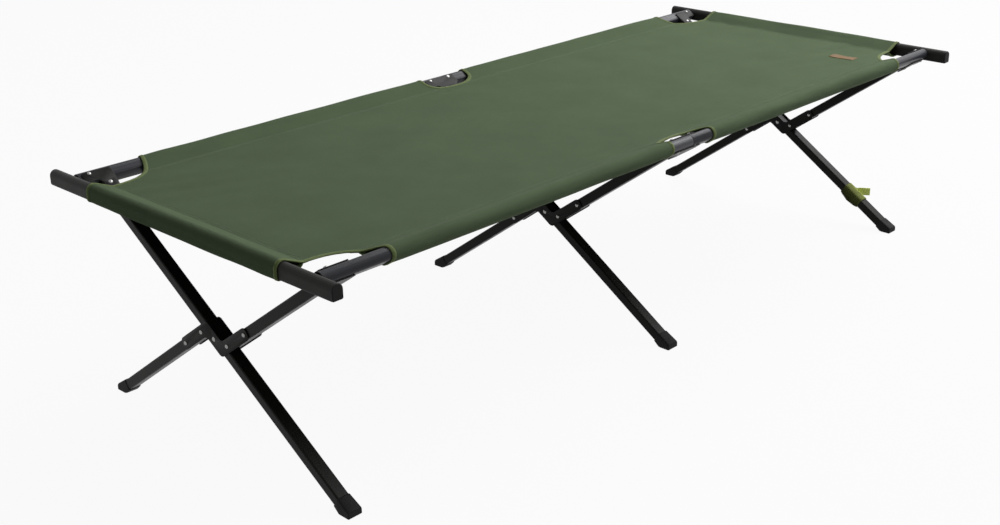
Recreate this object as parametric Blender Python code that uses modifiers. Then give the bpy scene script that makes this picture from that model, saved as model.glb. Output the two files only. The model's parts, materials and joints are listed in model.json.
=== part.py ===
"""Folding camping cot: a canvas deck on two side rails, three crossed leg sets and two pull-off end bars.

X runs along the cot, Y across it and Z up, in metres, with the origin on the floor under its centre.
The left frame carries the straight legs. The right frame carries the split legs, whose two halves are
joined past the straight leg by cranked plates, so that each leg set folds like scissors about one pivot.
"""
import math

import bmesh
import bpy
from mathutils import Matrix, Vector
from mathutils.geometry import convex_hull_2d

# Overall sizes
COT_LENGTH = 1.9
COT_HEIGHT = 0.458
END_BAR_LENGTH = 0.808
END_BAR_OVERHANG = 0.059
PIVOT_HEIGHT = 0.2215
PIVOT_Y = 0.005

# Bar sections: the rails and end bars have a loaf section, the legs a rounded box section
END_BAR_DEPTH = 0.022
END_BAR_HEIGHT = 0.028
RAIL_WIDTH = 0.0235
RAIL_HEIGHT = 0.028
BAR_WALL = 0.0015
BAR_FOOT_RADIUS = 0.0025
LEG_HEIGHT = 0.0205
LEG_DEPTH = 0.025
LEG_WALL = 0.0014
LEG_CORNER_RADIUS = 0.003

# Clearances
TOUCH_GAP = 0.0003
PIN_CLEARANCE = 0.0004
FOLD_GAP = 0.003
SEAM_GAP = 0.001
LEG_END_GAP = 0.002

# Leg sets along the cot
END_LEG_INSET = 0.071
MIDDLE_LEG_X = -0.0165

# Rivets
RIVET_SHANK = 0.003
RIVET_HEAD = 0.0046
RIVET_HEAD_RISE = 0.0017
RIVET_SEAT = 0.0004
RIVET_STEPS = 10

# Cranked plates of the split legs
PLATE_THICKNESS = 0.002
PLATE_END = 0.0105
PLATE_ARM_HEIGHT = 0.024
PLATE_LINK_WIDTH = 0.028
PLATE_RIVET_MARGIN = 0.0060
PLATE_RIVET_SPACING = 0.066
PLATE_CORNER_RADIUS = 0.0095
PLATE_SHOULDER_RADIUS = 0.011
PLATE_THROAT_RADIUS = 0.011

# Leg brackets: two cheeks on the flats of the rail, tied by a rivet through it
CHEEK_THICKNESS = 0.002
CHEEK_RISE = 0.004
CHEEK_SKIRT = 0.004
CHEEK_DROP = 0.030
CHEEK_LOBE = 0.013
CHEEK_END_REACH = 0.017
CHEEK_LONG_REACH = 0.043
CHEEK_NOTCH_RADIUS = 0.008
CHEEK_CORNER_RADIUS = 0.004
HINGE_RIVET_DROP = 0.016
RAIL_RIVET_OFFSET = 0.0275

# Rail ends and the pegs of the end bars
PEG_RADIUS = 0.006
PEG_LENGTH = 0.014
PEG_TIP_GAP = 0.0015
PLUG_LENGTH = 0.030
SLOT_TURN = math.radians(7)

# End caps
CAP_THICKNESS = 0.003
CAP_SPIGOT = 0.014

# Rubber boots
BOOT_WALL = 0.0036
BOOT_LENGTH = 0.036
BOOT_TOE_HEIGHT = 0.0135
BOOT_TAPER = 0.92
BOOT_SOLE_THICKNESS = 0.003
BOOT_CORNER_RADIUS = 0.004

# Canvas deck
CANVAS_THICKNESS = 0.0012
SLEEVE_GAP = 0.0005
SLEEVE_REACH = 0.040
SLEEVE_SEAM = 0.003
END_SLEEVE_FROM_RAIL = 0.073
END_SLEEVE_HEM = 0.002
CORNER_CUT_LENGTH = 0.138
CORNER_CUT_BULGE = 0.016
CORNER_CUT_SLANT = 0.026
SIDE_CUT_HALF = 0.064
SIDE_CUT_DEPTH = 0.042
SIDE_CUT_SQUARE = 0.012
CANVAS_CUT_REACH = 0.06

# Label patch and storage strap
LABEL_LENGTH = 0.064
LABEL_WIDTH = 0.027
LABEL_THICKNESS = 0.001
LABEL_FROM_END = 0.1675
LABEL_FROM_RAIL = 0.127
STRAP_THICKNESS = 0.0016
STRAP_WIDTH = 0.056
STRAP_ABOVE_BOOT = 0.068
STRAP_TAIL_LENGTH = 0.034
STRAP_TAIL_WIDTH = 0.018

# Places worked out from the sizes
ALONG = Vector((1, 0, 0))
ACROSS = Vector((0, 1, 0))
UP = Vector((0, 0, 1))
RAIL_Y = END_BAR_LENGTH / 2 - END_BAR_OVERHANG
RAIL_Z = COT_HEIGHT - END_BAR_HEIGHT / 2
LEFT_REACH = math.hypot(RAIL_Y - PIVOT_Y, RAIL_Z - PIVOT_HEIGHT)
RIGHT_REACH = math.hypot(RAIL_Y + PIVOT_Y, RAIL_Z - PIVOT_HEIGHT)
LEG_TILT = math.atan2(RAIL_Z - PIVOT_HEIGHT, RAIL_Y - PIVOT_Y)
RIGHT_TILT = math.atan2(RAIL_Z - PIVOT_HEIGHT, RAIL_Y + PIVOT_Y)
CRANK = LEG_HEIGHT + FOLD_GAP
SPLIT_TILT = RIGHT_TILT + math.asin(CRANK / RIGHT_REACH)
LEFT_UP = Vector((0, math.cos(LEG_TILT), math.sin(LEG_TILT)))
RIGHT_UP = Vector((0, -math.cos(SPLIT_TILT), math.sin(SPLIT_TILT)))
CRANK_SIDE = ALONG.cross(RIGHT_UP)
SPLIT_REACH = RIGHT_REACH * math.cos(SPLIT_TILT - RIGHT_TILT)
CROSSING = math.pi - SPLIT_TILT - LEG_TILT
PLATE_RIVET_CLEAR = LEG_HEIGHT / 2 + RIVET_SHANK + PLATE_RIVET_MARGIN
PLATE_INNER_RIVET = (PLATE_RIVET_CLEAR - CRANK * math.cos(CROSSING)) / math.sin(CROSSING)
PLATE_OUTER_RIVET = PLATE_INNER_RIVET + PLATE_RIVET_SPACING
PLATE_REACH = PLATE_OUTER_RIVET + PLATE_END
LEG_TOP = RAIL_HEIGHT / 2 + LEG_END_GAP
HINGE_DROP = RAIL_HEIGHT / 2 + HINGE_RIVET_DROP
RAIL_END = COT_LENGTH / 2 - END_BAR_DEPTH - TOUCH_GAP
END_LEG_X = COT_LENGTH / 2 - END_LEG_INSET
STATIONS = {"near": -END_LEG_X, "middle": MIDDLE_LEG_X, "far": END_LEG_X}
ENDS = {"near": -1, "far": 1}
SIDES = {"left": 1, "right": -1}
CHEEK_IN = RAIL_WIDTH / 2 + TOUCH_GAP
CHEEK_OUT = CHEEK_IN + CHEEK_THICKNESS
PLATE_IN = LEG_DEPTH / 2 + TOUCH_GAP
PLATE_OUT = PLATE_IN + PLATE_THICKNESS
HOLE_RADIUS = RIVET_SHANK + PIN_CLEARANCE
PEG_HOLE = PEG_RADIUS + PIN_CLEARANCE
PEG_DEPTH = PEG_LENGTH + PEG_TIP_GAP
SLEEVE_OUT = SLEEVE_GAP + CANVAS_THICKNESS
SEAM_Y = RAIL_Y - SLEEVE_REACH
END_SLEEVE_HALF = RAIL_Y - END_SLEEVE_FROM_RAIL
DECK_TOP = RAIL_Z + CANVAS_THICKNESS / 2

# Colour, roughness and metallic value of each finish
FINISHES = {
    "rail_enamel": ((0.030, 0.031, 0.036), 0.38, 0.4),
    "leg_enamel": ((0.018, 0.018, 0.018), 0.42, 0.4),
    "plate_enamel": ((0.022, 0.021, 0.020), 0.40, 0.5),
    "rivet_steel": ((0.62, 0.62, 0.60), 0.25, 1.0),
    "cap_plastic": ((0.012, 0.012, 0.012), 0.55, 0.0),
    "boot_rubber": ((0.010, 0.010, 0.010), 0.75, 0.0),
    "olive_canvas": ((0.062, 0.100, 0.050), 0.85, 0.0),
    "brown_patch": ((0.22, 0.10, 0.045), 0.65, 0.0),
    "lime_webbing": ((0.33, 0.38, 0.08), 0.80, 0.0),
}


def clear_scene():
    """Empties the scene of its objects."""
    for item in list(bpy.data.objects):
        bpy.data.objects.remove(item, do_unlink=True)


def new_collection(name):
    """A collection of this name, linked to the scene."""
    collection = bpy.data.collections.new(name)
    bpy.context.scene.collection.children.link(collection)
    return collection


def new_material(name):
    """One finish as a Principled BSDF."""
    colour, roughness, metallic = FINISHES[name]
    material = bpy.data.materials.new(name)
    material.use_nodes = True
    shader = material.node_tree.nodes["Principled BSDF"]
    shader.inputs["Base Color"].default_value = (*colour, 1.0)
    shader.inputs["Roughness"].default_value = roughness
    shader.inputs["Metallic"].default_value = metallic
    return material


clear_scene()
PARTS = new_collection("camping_cot")
CUTTERS = new_collection("cutters")
MATERIALS = {name: new_material(name) for name in FINISHES}


def frame_at(origin, first, second):
    """A frame whose first two axes are given, with the third square to both."""
    axes = Matrix((first, second, first.cross(second))).transposed().to_4x4()
    axes.translation = origin
    return axes


def moved(frame, first=0.0, second=0.0, third=0.0):
    """The same frame, shifted along its own axes."""
    return frame @ Matrix.Translation((first, second, third))


def place(mesh, name, frame, finish=None):
    """A finished piece of the cot, or a cutter where it has no finish."""
    piece = bpy.data.objects.new(name, mesh)
    piece.matrix_world = frame
    if finish:
        PARTS.objects.link(piece)
        mesh.materials.append(MATERIALS[finish])
    else:
        CUTTERS.objects.link(piece)
        piece.hide_render = True
        piece.display_type = "WIRE"
    return piece


def arc(centre, radius, first, last, steps):
    """Points along an arc between two angles."""
    points = []
    for step in range(steps + 1):
        angle = first + (last - first) * step / steps
        points.append((centre[0] + radius * math.cos(angle), centre[1] + radius * math.sin(angle)))
    return points


def rounded(corners, steps=4):
    """Points round a polygon given as (x, y, radius), with each corner turned into an arc."""
    points = []
    for index, (x, y, radius) in enumerate(corners):
        here = Vector((x, y))
        before = (Vector(corners[index - 1][:2]) - here).normalized()
        after = (Vector(corners[(index + 1) % len(corners)][:2]) - here).normalized()
        half = before.angle(after) / 2
        centre = here + (before + after).normalized() * radius / math.sin(half)
        start = here + before * radius / math.tan(half) - centre
        end = here + after * radius / math.tan(half) - centre
        first = math.atan2(start.y, start.x)
        turn = math.atan2(start.x * end.y - start.y * end.x, start.dot(end))
        points += arc(centre, radius, first, first + turn, steps)
    return points


def box_section(height, depth, grow, radius):
    """A rounded box, its depth along the first axis and its height along the second."""
    x = depth / 2 + grow
    y = height / 2 + grow
    return rounded([(x, y, radius), (-x, y, radius), (-x, -y, radius), (x, -y, radius)], 3)


def loaf_section(width, height, grow=0.0):
    """Flat sides and a flat foot, with the top rounded over the whole width."""
    half = width / 2 + grow
    foot = -height / 2 - grow + BAR_FOOT_RADIUS
    corner = half - BAR_FOOT_RADIUS
    quarter = math.pi / 2
    return (
        arc((0, height / 2 + grow - half), half, 0, 2 * quarter, 10)
        + arc((-corner, foot), BAR_FOOT_RADIUS, 2 * quarter, 3 * quarter, 2)
        + arc((corner, foot), BAR_FOOT_RADIUS, 3 * quarter, 4 * quarter, 2)
    )


def prism(name, loops, low, high, frame, finish=None):
    """An outline with its holes, in the frame's first two axes, run from low to high along the third."""
    curve = bpy.data.curves.new(name, "CURVE")
    curve.dimensions = "2D"
    curve.fill_mode = "BOTH"
    curve.extrude = (high - low) / 2
    for loop in loops:
        spline = curve.splines.new("POLY")
        spline.points.add(len(loop) - 1)
        spline.use_cyclic_u = True
        for point, (x, y) in zip(spline.points, loop):
            point.co = (x, y, 0, 1)
    outline = bpy.data.objects.new(name + "_outline", curve)
    outline.matrix_world = moved(frame, third=(low + high) / 2)
    CUTTERS.objects.link(outline)
    evaluated = outline.evaluated_get(bpy.context.evaluated_depsgraph_get())
    mesh = bpy.data.meshes.new_from_object(evaluated)
    mesh.materials.clear()
    shape = bmesh.new()
    shape.from_mesh(mesh)
    bmesh.ops.remove_doubles(shape, verts=shape.verts, dist=0.00001)
    bmesh.ops.recalc_face_normals(shape, faces=shape.faces)
    shape.to_mesh(mesh)
    shape.free()
    piece = place(mesh, name, outline.matrix_world.copy(), finish)
    bpy.data.objects.remove(outline, do_unlink=True)
    return piece


def cylinder(name, low, high, radius, frame, sides=12):
    """A round bar along the frame's third axis."""
    mesh = bpy.data.meshes.new(name)
    shape = bmesh.new()
    bmesh.ops.create_cone(
        shape, cap_ends=True, segments=sides, radius1=radius, radius2=radius, depth=high - low,
    )
    shape.to_mesh(mesh)
    shape.free()
    return place(mesh, name, moved(frame, third=(low + high) / 2))


def block(name, size, frame):
    """A box centred on the frame."""
    mesh = bpy.data.meshes.new(name)
    shape = bmesh.new()
    bmesh.ops.create_cube(shape, size=1.0)
    bmesh.ops.scale(shape, vec=size, verts=shape.verts)
    shape.to_mesh(mesh)
    shape.free()
    return place(mesh, name, frame)


def rivet(name, low, high, frame, finish=None):
    """A turned rivet along the frame's third axis, its shank from low to high between domed heads."""
    shoulder = RIVET_HEAD * 0.65
    crown = RIVET_HEAD_RISE * 0.72
    profile = [
        (0.0, high + RIVET_HEAD_RISE), (shoulder, high + crown), (RIVET_HEAD, high), (RIVET_SHANK, high),
        (RIVET_SHANK, low), (RIVET_HEAD, low), (shoulder, low - crown), (0.0, low - RIVET_HEAD_RISE),
    ]
    mesh = bpy.data.meshes.new(name)
    edges = [(index, index + 1) for index in range(len(profile) - 1)]
    mesh.from_pydata([(x, 0.0, z) for x, z in profile], edges, [])
    piece = place(mesh, name, frame, finish)
    turning = piece.modifiers.new("turned", "SCREW")
    turning.steps = RIVET_STEPS
    turning.render_steps = RIVET_STEPS
    turning.use_merge_vertices = True
    turning.merge_threshold = 0.00001
    turning.use_smooth_shade = True
    return piece


def shape_with(piece, operation, *others):
    """Cuts a piece with other objects, or joins them to it."""
    for other in others:
        step = piece.modifiers.new(other.name, "BOOLEAN")
        step.operation = operation
        step.solver = "EXACT"
        step.object = other


def leg_frame(origin, direction):
    """A leg's frame: along the cot, across the leg, and up the leg."""
    return frame_at(origin, ALONG, direction.cross(ALONG))


def flats_frame(origin, direction):
    """A frame along the cot and up the leg, its third axis square to the rail's flats."""
    return frame_at(origin, ALONG, direction)


RAIL_CENTRES = {"left": Vector((0, RAIL_Y, RAIL_Z)), "right": Vector((0, -RAIL_Y, RAIL_Z))}
RAIL_UP = {"left": LEFT_UP, "right": RIGHT_UP}
CHEEK_FRAMES = {side: flats_frame(RAIL_CENTRES[side], RAIL_UP[side]) for side in RAIL_UP}
RAIL_FRAMES = {
    side: frame_at(RAIL_CENTRES[side], RAIL_UP[side].cross(ALONG), RAIL_UP[side]) for side in RAIL_UP
}


def rail_rivet_places(station):
    """Where rivets pass through the rail beside one leg set: two at the middle, one towards each end."""
    x = STATIONS[station]
    if station == "middle":
        return [x - RAIL_RIVET_OFFSET, x + RAIL_RIVET_OFFSET]
    return [x + ENDS[station] * RAIL_RIVET_OFFSET]


def make_holes():
    """The round holes that several pieces share, by what passes through them."""
    holes = {}
    for side, frame in CHEEK_FRAMES.items():
        for station, x in STATIONS.items():
            holes[f"{station}_{side}_hinge"] = cylinder(
                f"{station}_{side}_hinge_hole", -2 * CHEEK_OUT, 2 * CHEEK_OUT, HOLE_RADIUS,
                moved(frame, first=x, second=-HINGE_DROP),
            )
            for index, rivet_x in enumerate(rail_rivet_places(station)):
                holes[f"{station}_{side}_rail_{index}"] = cylinder(
                    f"{station}_{side}_rail_hole_{index}", -2 * CHEEK_OUT, 2 * CHEEK_OUT, HOLE_RADIUS,
                    moved(frame, first=rivet_x),
                )
    for station, x in STATIONS.items():
        pivot = frame_at(pivot_place(x), ACROSS, UP)
        holes[f"{station}_pivot"] = cylinder(
            f"{station}_pivot_hole", -2 * PLATE_OUT, 2 * PLATE_OUT, HOLE_RADIUS, pivot,
        )
        for index, (reach, offset) in enumerate(plate_rivet_places()):
            holes[f"{station}_plate_{index}"] = cylinder(
                f"{station}_plate_hole_{index}", -2 * PLATE_OUT, 2 * PLATE_OUT, HOLE_RADIUS,
                moved(crank_frame(x), reach, offset),
            )
    return holes


def pivot_place(x):
    """Where the pivot line crosses this place along the cot."""
    return Vector((x, PIVOT_Y, PIVOT_HEIGHT))


def crank_frame(x):
    """The cranked plates' frame: up the split leg, across it, and along the cot."""
    return frame_at(pivot_place(x), RIGHT_UP, CRANK_SIDE)


def plate_rivet_places():
    """The plate's rivets in its own frame: two in the lower half leg, then two in the upper one."""
    return [
        (-PLATE_OUTER_RIVET, -CRANK), (-PLATE_INNER_RIVET, -CRANK),
        (PLATE_INNER_RIVET, CRANK), (PLATE_OUTER_RIVET, CRANK),
    ]


def slot_cutter(name, direction):
    """The right rail's way off its peg: a slot along the arc that the rail swings through."""
    start = math.pi - RIGHT_TILT
    end = start + SLOT_TURN
    centre = (RIGHT_REACH * math.cos(start), RIGHT_REACH * math.sin(start))
    outline = (
        arc((0, 0), RIGHT_REACH + PEG_HOLE, end, start, 6)[:-1]
        + arc(centre, PEG_HOLE, start, start - math.pi, 8)
        + arc((0, 0), RIGHT_REACH - PEG_HOLE, start, end, 6)[1:]
    )
    face = COT_LENGTH / 2 - END_BAR_DEPTH
    low, high = sorted((direction * (face + TOUCH_GAP), direction * (face - PEG_DEPTH)))
    return prism(name, [outline], low, high, frame_at(pivot_place(0), ACROSS, UP))


def bore_cutter(name, direction, side):
    """The round hole that takes a peg in a rail's end plug."""
    face = COT_LENGTH / 2 - END_BAR_DEPTH
    low, high = sorted((direction * (face + TOUCH_GAP), direction * (face - PEG_DEPTH)))
    return cylinder(name, low, high, PEG_HOLE, frame_at(RAIL_CENTRES[side], ACROSS, UP), 16)


def make_rails(holes, peg_cutters):
    """Two hollow rails, each in two halves that meet at the middle of the cot."""
    hollow = loaf_section(RAIL_WIDTH, RAIL_HEIGHT, -BAR_WALL)
    outer = loaf_section(RAIL_WIDTH, RAIL_HEIGHT)
    for side, frame in RAIL_FRAMES.items():
        for end, sign in ENDS.items():
            low, high = sorted((sign * SEAM_GAP / 2, sign * RAIL_END))
            rail = prism(f"{end}_{side}_rail", [outer, hollow], low, high, frame, "rail_enamel")
            middle = holes[f"middle_{side}_rail_{0 if sign < 0 else 1}"]
            shape_with(rail, "DIFFERENCE", holes[f"{end}_{side}_rail_0"], middle)
            if side == "right":
                shape_with(rail, "DIFFERENCE", peg_cutters[end, side])


def make_plugs(holes, peg_cutters):
    """Plastic plugs in the rail ends, held by the bracket's rivet, each with a hole or a slot for a peg."""
    section = loaf_section(RAIL_WIDTH, RAIL_HEIGHT, -BAR_WALL - TOUCH_GAP)
    for side, frame in RAIL_FRAMES.items():
        for end, sign in ENDS.items():
            low, high = sorted((sign * RAIL_END, sign * (RAIL_END - PLUG_LENGTH)))
            plug = prism(f"{end}_{side}_rail_plug", [section], low, high, frame, "cap_plastic")
            shape_with(plug, "DIFFERENCE", peg_cutters[end, side], holes[f"{end}_{side}_rail_0"])


def cheek_outline(station):
    """A cheek along the cot and up from the leg: a strip on the rail, with a lobe round the hinge rivet."""
    notch_side = ENDS.get(station, -1)
    inner_reach = CHEEK_LONG_REACH if station == "middle" else CHEEK_END_REACH
    foot = -RAIL_HEIGHT / 2 - CHEEK_DROP
    skirt = -RAIL_HEIGHT / 2 - CHEEK_SKIRT
    return rounded([
        (-notch_side * inner_reach, CHEEK_RISE, CHEEK_CORNER_RADIUS),
        (-notch_side * inner_reach, skirt, CHEEK_CORNER_RADIUS),
        (-notch_side * CHEEK_LOBE, foot, CHEEK_CORNER_RADIUS),
        (notch_side * CHEEK_LOBE, foot, CHEEK_CORNER_RADIUS),
        (notch_side * CHEEK_LOBE, skirt, CHEEK_NOTCH_RADIUS),
        (notch_side * CHEEK_LONG_REACH, skirt, CHEEK_CORNER_RADIUS),
        (notch_side * CHEEK_LONG_REACH, CHEEK_RISE, CHEEK_CORNER_RADIUS),
    ])


def make_brackets(holes, peg_cutters):
    """Leg brackets on the rails, with their hinge rivets, and the pins of the rails' far halves."""
    for side, cheek_frame in CHEEK_FRAMES.items():
        for station, x in STATIONS.items():
            name = f"{station}_{side}_leg_bracket"
            frame = moved(cheek_frame, first=x)
            outline = cheek_outline(station)
            bracket = prism(name, [outline], CHEEK_IN, CHEEK_OUT, frame, "plate_enamel")
            shape_with(bracket, "UNION", prism(f"{name}_cheek", [outline], -CHEEK_OUT, -CHEEK_IN, frame))
            tie_x = rail_rivet_places(station)[0]
            seat = CHEEK_OUT - RIVET_SEAT
            shape_with(bracket, "UNION", rivet(f"{name}_tie", -seat, seat, moved(cheek_frame, first=tie_x)))
            shape_with(bracket, "DIFFERENCE", holes[f"{station}_{side}_hinge"])
            if station == "middle":
                shape_with(bracket, "DIFFERENCE", holes[f"{station}_{side}_rail_1"])
            elif side == "right":
                shape_with(bracket, "DIFFERENCE", peg_cutters[station, side])
            clear = CHEEK_OUT + TOUCH_GAP
            hinge = moved(frame, second=-HINGE_DROP)
            rivet(f"{station}_{side}_hinge_rivet", -clear, clear, hinge, "rivet_steel")
        pin_x = rail_rivet_places("middle")[1]
        rivet(f"{side}_rail_fold_pin", -clear, clear, moved(cheek_frame, first=pin_x), "rivet_steel")


def leg_floor_reach(origin, direction):
    """How far a leg's axis runs down from its origin to the floor."""
    return origin.z / direction.z


def leg_tube(name, origin, direction, low, high):
    """A hollow rounded box tube along a leg."""
    outer = box_section(LEG_HEIGHT, LEG_DEPTH, 0, LEG_CORNER_RADIUS)
    hollow = box_section(LEG_HEIGHT, LEG_DEPTH, -LEG_WALL, LEG_CORNER_RADIUS - LEG_WALL)
    return prism(name, [outer, hollow], low, high, leg_frame(origin, direction), "leg_enamel")


def tube_stop(origin, direction):
    """How far down a leg its tube ends, so that the boot's sole closes below it."""
    rise = BOOT_SOLE_THICKNESS + LEG_HEIGHT / 2 * abs(direction.y)
    return -leg_floor_reach(origin, direction) + rise / direction.z


def toe_cutter(name, foot, direction):
    """A block that cuts a boot upright, where the boot's upper side comes down to the toe's height."""
    level = abs(direction.y)
    depth = LEG_HEIGHT / 2 + BOOT_WALL
    reach = (depth * level - BOOT_TOE_HEIGHT) / direction.z * level + depth * direction.z
    outward = ACROSS * -math.copysign(1, direction.y)
    size = (2 * LEG_DEPTH, 2 * BOOT_LENGTH, 2 * BOOT_LENGTH)
    return block(name, size, Matrix.Translation(foot + outward * (reach + BOOT_LENGTH)))


def make_boot(name, origin, direction, floor):
    """A rubber boot on a leg's foot: tapered upwards, open for the tube, with a flat sole and a blunt toe."""
    frame = leg_frame(origin, direction)
    foot = -leg_floor_reach(origin, direction)
    low = foot - BOOT_LENGTH
    high = foot + BOOT_LENGTH
    outline = box_section(LEG_HEIGHT, LEG_DEPTH, BOOT_WALL, BOOT_CORNER_RADIUS)
    boot = prism(name, [outline], low, high, frame, "boot_rubber")
    for vertex in boot.data.vertices:
        if vertex.co.z > 0:
            vertex.co.x *= BOOT_TAPER
            vertex.co.y *= BOOT_TAPER
    pocket = prism(
        f"{name}_pocket", [box_section(LEG_HEIGHT, LEG_DEPTH, TOUCH_GAP, LEG_CORNER_RADIUS)],
        tube_stop(origin, direction) - TOUCH_GAP, high + BOOT_WALL, frame,
    )
    toe = toe_cutter(f"{name}_toe", origin + direction * foot, direction)
    shape_with(boot, "DIFFERENCE", pocket, toe, floor)


def make_straight_leg(station, holes, floor):
    """The left frame's one-piece leg, from the left rail to the right foot."""
    origin = pivot_place(STATIONS[station])
    low = tube_stop(origin, LEFT_UP)
    leg = leg_tube(f"{station}_straight_leg", origin, LEFT_UP, low, LEFT_REACH - LEG_TOP)
    shape_with(leg, "DIFFERENCE", holes[f"{station}_pivot"], holes[f"{station}_left_hinge"])
    make_boot(f"{station}_straight_leg_boot", origin, LEFT_UP, floor)


def make_split_leg(station, holes, floor):
    """The right frame's leg in two halves, set off to each side of the pivot to clear the straight leg."""
    pivot = pivot_place(STATIONS[station])
    room = block(
        f"{station}_fold_room", (2 * LEG_DEPTH, LEG_HEIGHT + FOLD_GAP, 4 * PLATE_REACH),
        leg_frame(pivot, LEFT_UP),
    )
    start = LEG_HEIGHT / 2
    upper = leg_tube(
        f"{station}_split_leg_top", pivot + CRANK_SIDE * CRANK, RIGHT_UP, start, SPLIT_REACH - LEG_TOP,
    )
    plate_holes = [holes[f"{station}_plate_{index}"] for index in range(4)]
    shape_with(upper, "DIFFERENCE", room, *plate_holes[2:], holes[f"{station}_right_hinge"])
    foot_origin = pivot - CRANK_SIDE * CRANK
    low = tube_stop(foot_origin, RIGHT_UP)
    lower = leg_tube(f"{station}_split_leg_foot", foot_origin, RIGHT_UP, low, -start)
    shape_with(lower, "DIFFERENCE", room, *plate_holes[:2])
    make_boot(f"{station}_split_leg_boot", foot_origin, RIGHT_UP, floor)


def crank_outline():
    """The cranked plate: an arm on each half leg, linked over the straight leg at that leg's own angle."""
    half_link = PLATE_LINK_WIDTH / 2 / math.sin(CROSSING)
    low = CRANK - PLATE_ARM_HEIGHT / 2
    high = CRANK + PLATE_ARM_HEIGHT / 2
    half = [
        (PLATE_REACH, low, PLATE_CORNER_RADIUS),
        (PLATE_REACH, high, PLATE_CORNER_RADIUS),
        (-high / math.tan(CROSSING) - half_link, high, PLATE_SHOULDER_RADIUS),
        (low / math.tan(CROSSING) - half_link, -low, PLATE_THROAT_RADIUS),
    ]
    return rounded(half + [(-x, -y, radius) for x, y, radius in half])


def make_crank_plates(station, holes):
    """The pair of cranked plates; the front one carries the rivets that clamp both halves of the leg."""
    frame = crank_frame(STATIONS[station])
    outline = crank_outline()
    front = prism(f"{station}_front_crank_plate", [outline], -PLATE_OUT, -PLATE_IN, frame, "plate_enamel")
    back = prism(f"{station}_back_crank_plate", [outline], PLATE_IN, PLATE_OUT, frame, "plate_enamel")
    pivot_hole = holes[f"{station}_pivot"]
    for index, (reach, offset) in enumerate(plate_rivet_places()):
        clamp = rivet(
            f"{station}_clamp_rivet_{index}", -PLATE_OUT + RIVET_SEAT, PLATE_OUT + TOUCH_GAP,
            moved(frame, reach, offset),
        )
        shape_with(front, "UNION", clamp)
        shape_with(back, "DIFFERENCE", holes[f"{station}_plate_{index}"])
    shape_with(front, "DIFFERENCE", pivot_hole)
    shape_with(back, "DIFFERENCE", pivot_hole)
    clear = PLATE_OUT + TOUCH_GAP
    rivet(f"{station}_pivot_rivet", -clear, clear, frame, "rivet_steel")


def make_end_bars():
    """The end bars, each with two pegs for the rail ends, and their caps."""
    outer = loaf_section(END_BAR_DEPTH, END_BAR_HEIGHT)
    hollow = loaf_section(END_BAR_DEPTH, END_BAR_HEIGHT, -BAR_WALL)
    spigot = loaf_section(END_BAR_DEPTH, END_BAR_HEIGHT, -BAR_WALL - TOUCH_GAP)
    half = END_BAR_LENGTH / 2 - CAP_THICKNESS - TOUCH_GAP
    for end, sign in ENDS.items():
        centre = Vector((sign * (COT_LENGTH / 2 - END_BAR_DEPTH / 2), 0, RAIL_Z))
        frame = frame_at(centre, UP.cross(ACROSS), UP)
        bar = prism(f"{end}_end_bar", [outer, hollow], -half, half, frame, "rail_enamel")
        root = sign * (COT_LENGTH / 2 - END_BAR_DEPTH + BAR_WALL / 2)
        tip = sign * (COT_LENGTH / 2 - END_BAR_DEPTH - PEG_LENGTH)
        for side, rail_centre in RAIL_CENTRES.items():
            low, high = sorted((root, tip))
            peg_frame = frame_at(rail_centre, ACROSS, UP)
            peg = cylinder(f"{end}_{side}_peg", low, high, PEG_RADIUS, peg_frame, 16)
            shape_with(bar, "UNION", peg)
        for side, turn in SIDES.items():
            name = f"{end}_{side}_end_cap"
            lid_low, lid_high = sorted((turn * (half + TOUCH_GAP), turn * END_BAR_LENGTH / 2))
            cap = prism(name, [outer], lid_low, lid_high, frame, "cap_plastic")
            plug_low, plug_high = sorted((turn * (half - CAP_SPIGOT), turn * (half + CAP_THICKNESS / 2)))
            shape_with(cap, "UNION", prism(f"{name}_spigot", [spigot], plug_low, plug_high, frame))


def pocket(ring, seam):
    """A sleeve's outline, drawn tight round a bar and its seam, anticlockwise from the seam's first point."""
    points = [Vector(point) for point in seam + ring]
    order = convex_hull_2d(points)
    first = order.index(0)
    return [tuple(points[index]) for index in order[first:] + order[:first]]


def rail_pocket(side, grow, seam):
    """A sleeve's outline round one rail, in the plane across the cot."""
    places = [RAIL_FRAMES[side] @ Vector((x, y, 0)) for x, y in loaf_section(RAIL_WIDTH, RAIL_HEIGHT, grow)]
    return pocket([(place.y, place.z) for place in places], seam)


def make_deck():
    """The canvas: a taut web with a pocket round each rail and each end bar, cut away at six places."""
    section = []
    holes = []
    for side, turn in SIDES.items():
        edges = [(turn * SEAM_Y, RAIL_Z + turn * edge * CANVAS_THICKNESS / 2) for edge in (-1, 1)]
        section += rail_pocket(side, SLEEVE_OUT, edges)
        holes.append(rail_pocket(side, SLEEVE_GAP, [(turn * (SEAM_Y + SLEEVE_SEAM), RAIL_Z)]))
    half = (COT_LENGTH - END_BAR_DEPTH) / 2
    deck = prism("deck", [section] + holes, -half, half, frame_at(Vector(), ACROSS, UP), "olive_canvas")
    cut_deck_corners(deck, half)
    cut_deck_sides(deck)
    hem = END_SLEEVE_HALF + END_SLEEVE_HEM
    for end, sign in ENDS.items():
        frame = frame_at(Vector((sign * half, 0, RAIL_Z)), UP.cross(ACROSS), UP)
        edges = [(sign * SLEEVE_REACH, edge * CANVAS_THICKNESS / 2) for edge in (-1, 1)]
        outer = pocket(loaf_section(END_BAR_DEPTH, END_BAR_HEIGHT, SLEEVE_OUT), edges)
        seam = [(sign * (SLEEVE_REACH - SLEEVE_SEAM), 0)]
        inner = pocket(loaf_section(END_BAR_DEPTH, END_BAR_HEIGHT, SLEEVE_GAP), seam)
        shape_with(deck, "UNION", prism(f"{end}_end_sleeve", [outer], -hem, hem, frame))
        shape_with(deck, "DIFFERENCE", prism(f"{end}_end_sleeve_room", [inner], -2 * hem, 2 * hem, frame))


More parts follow.
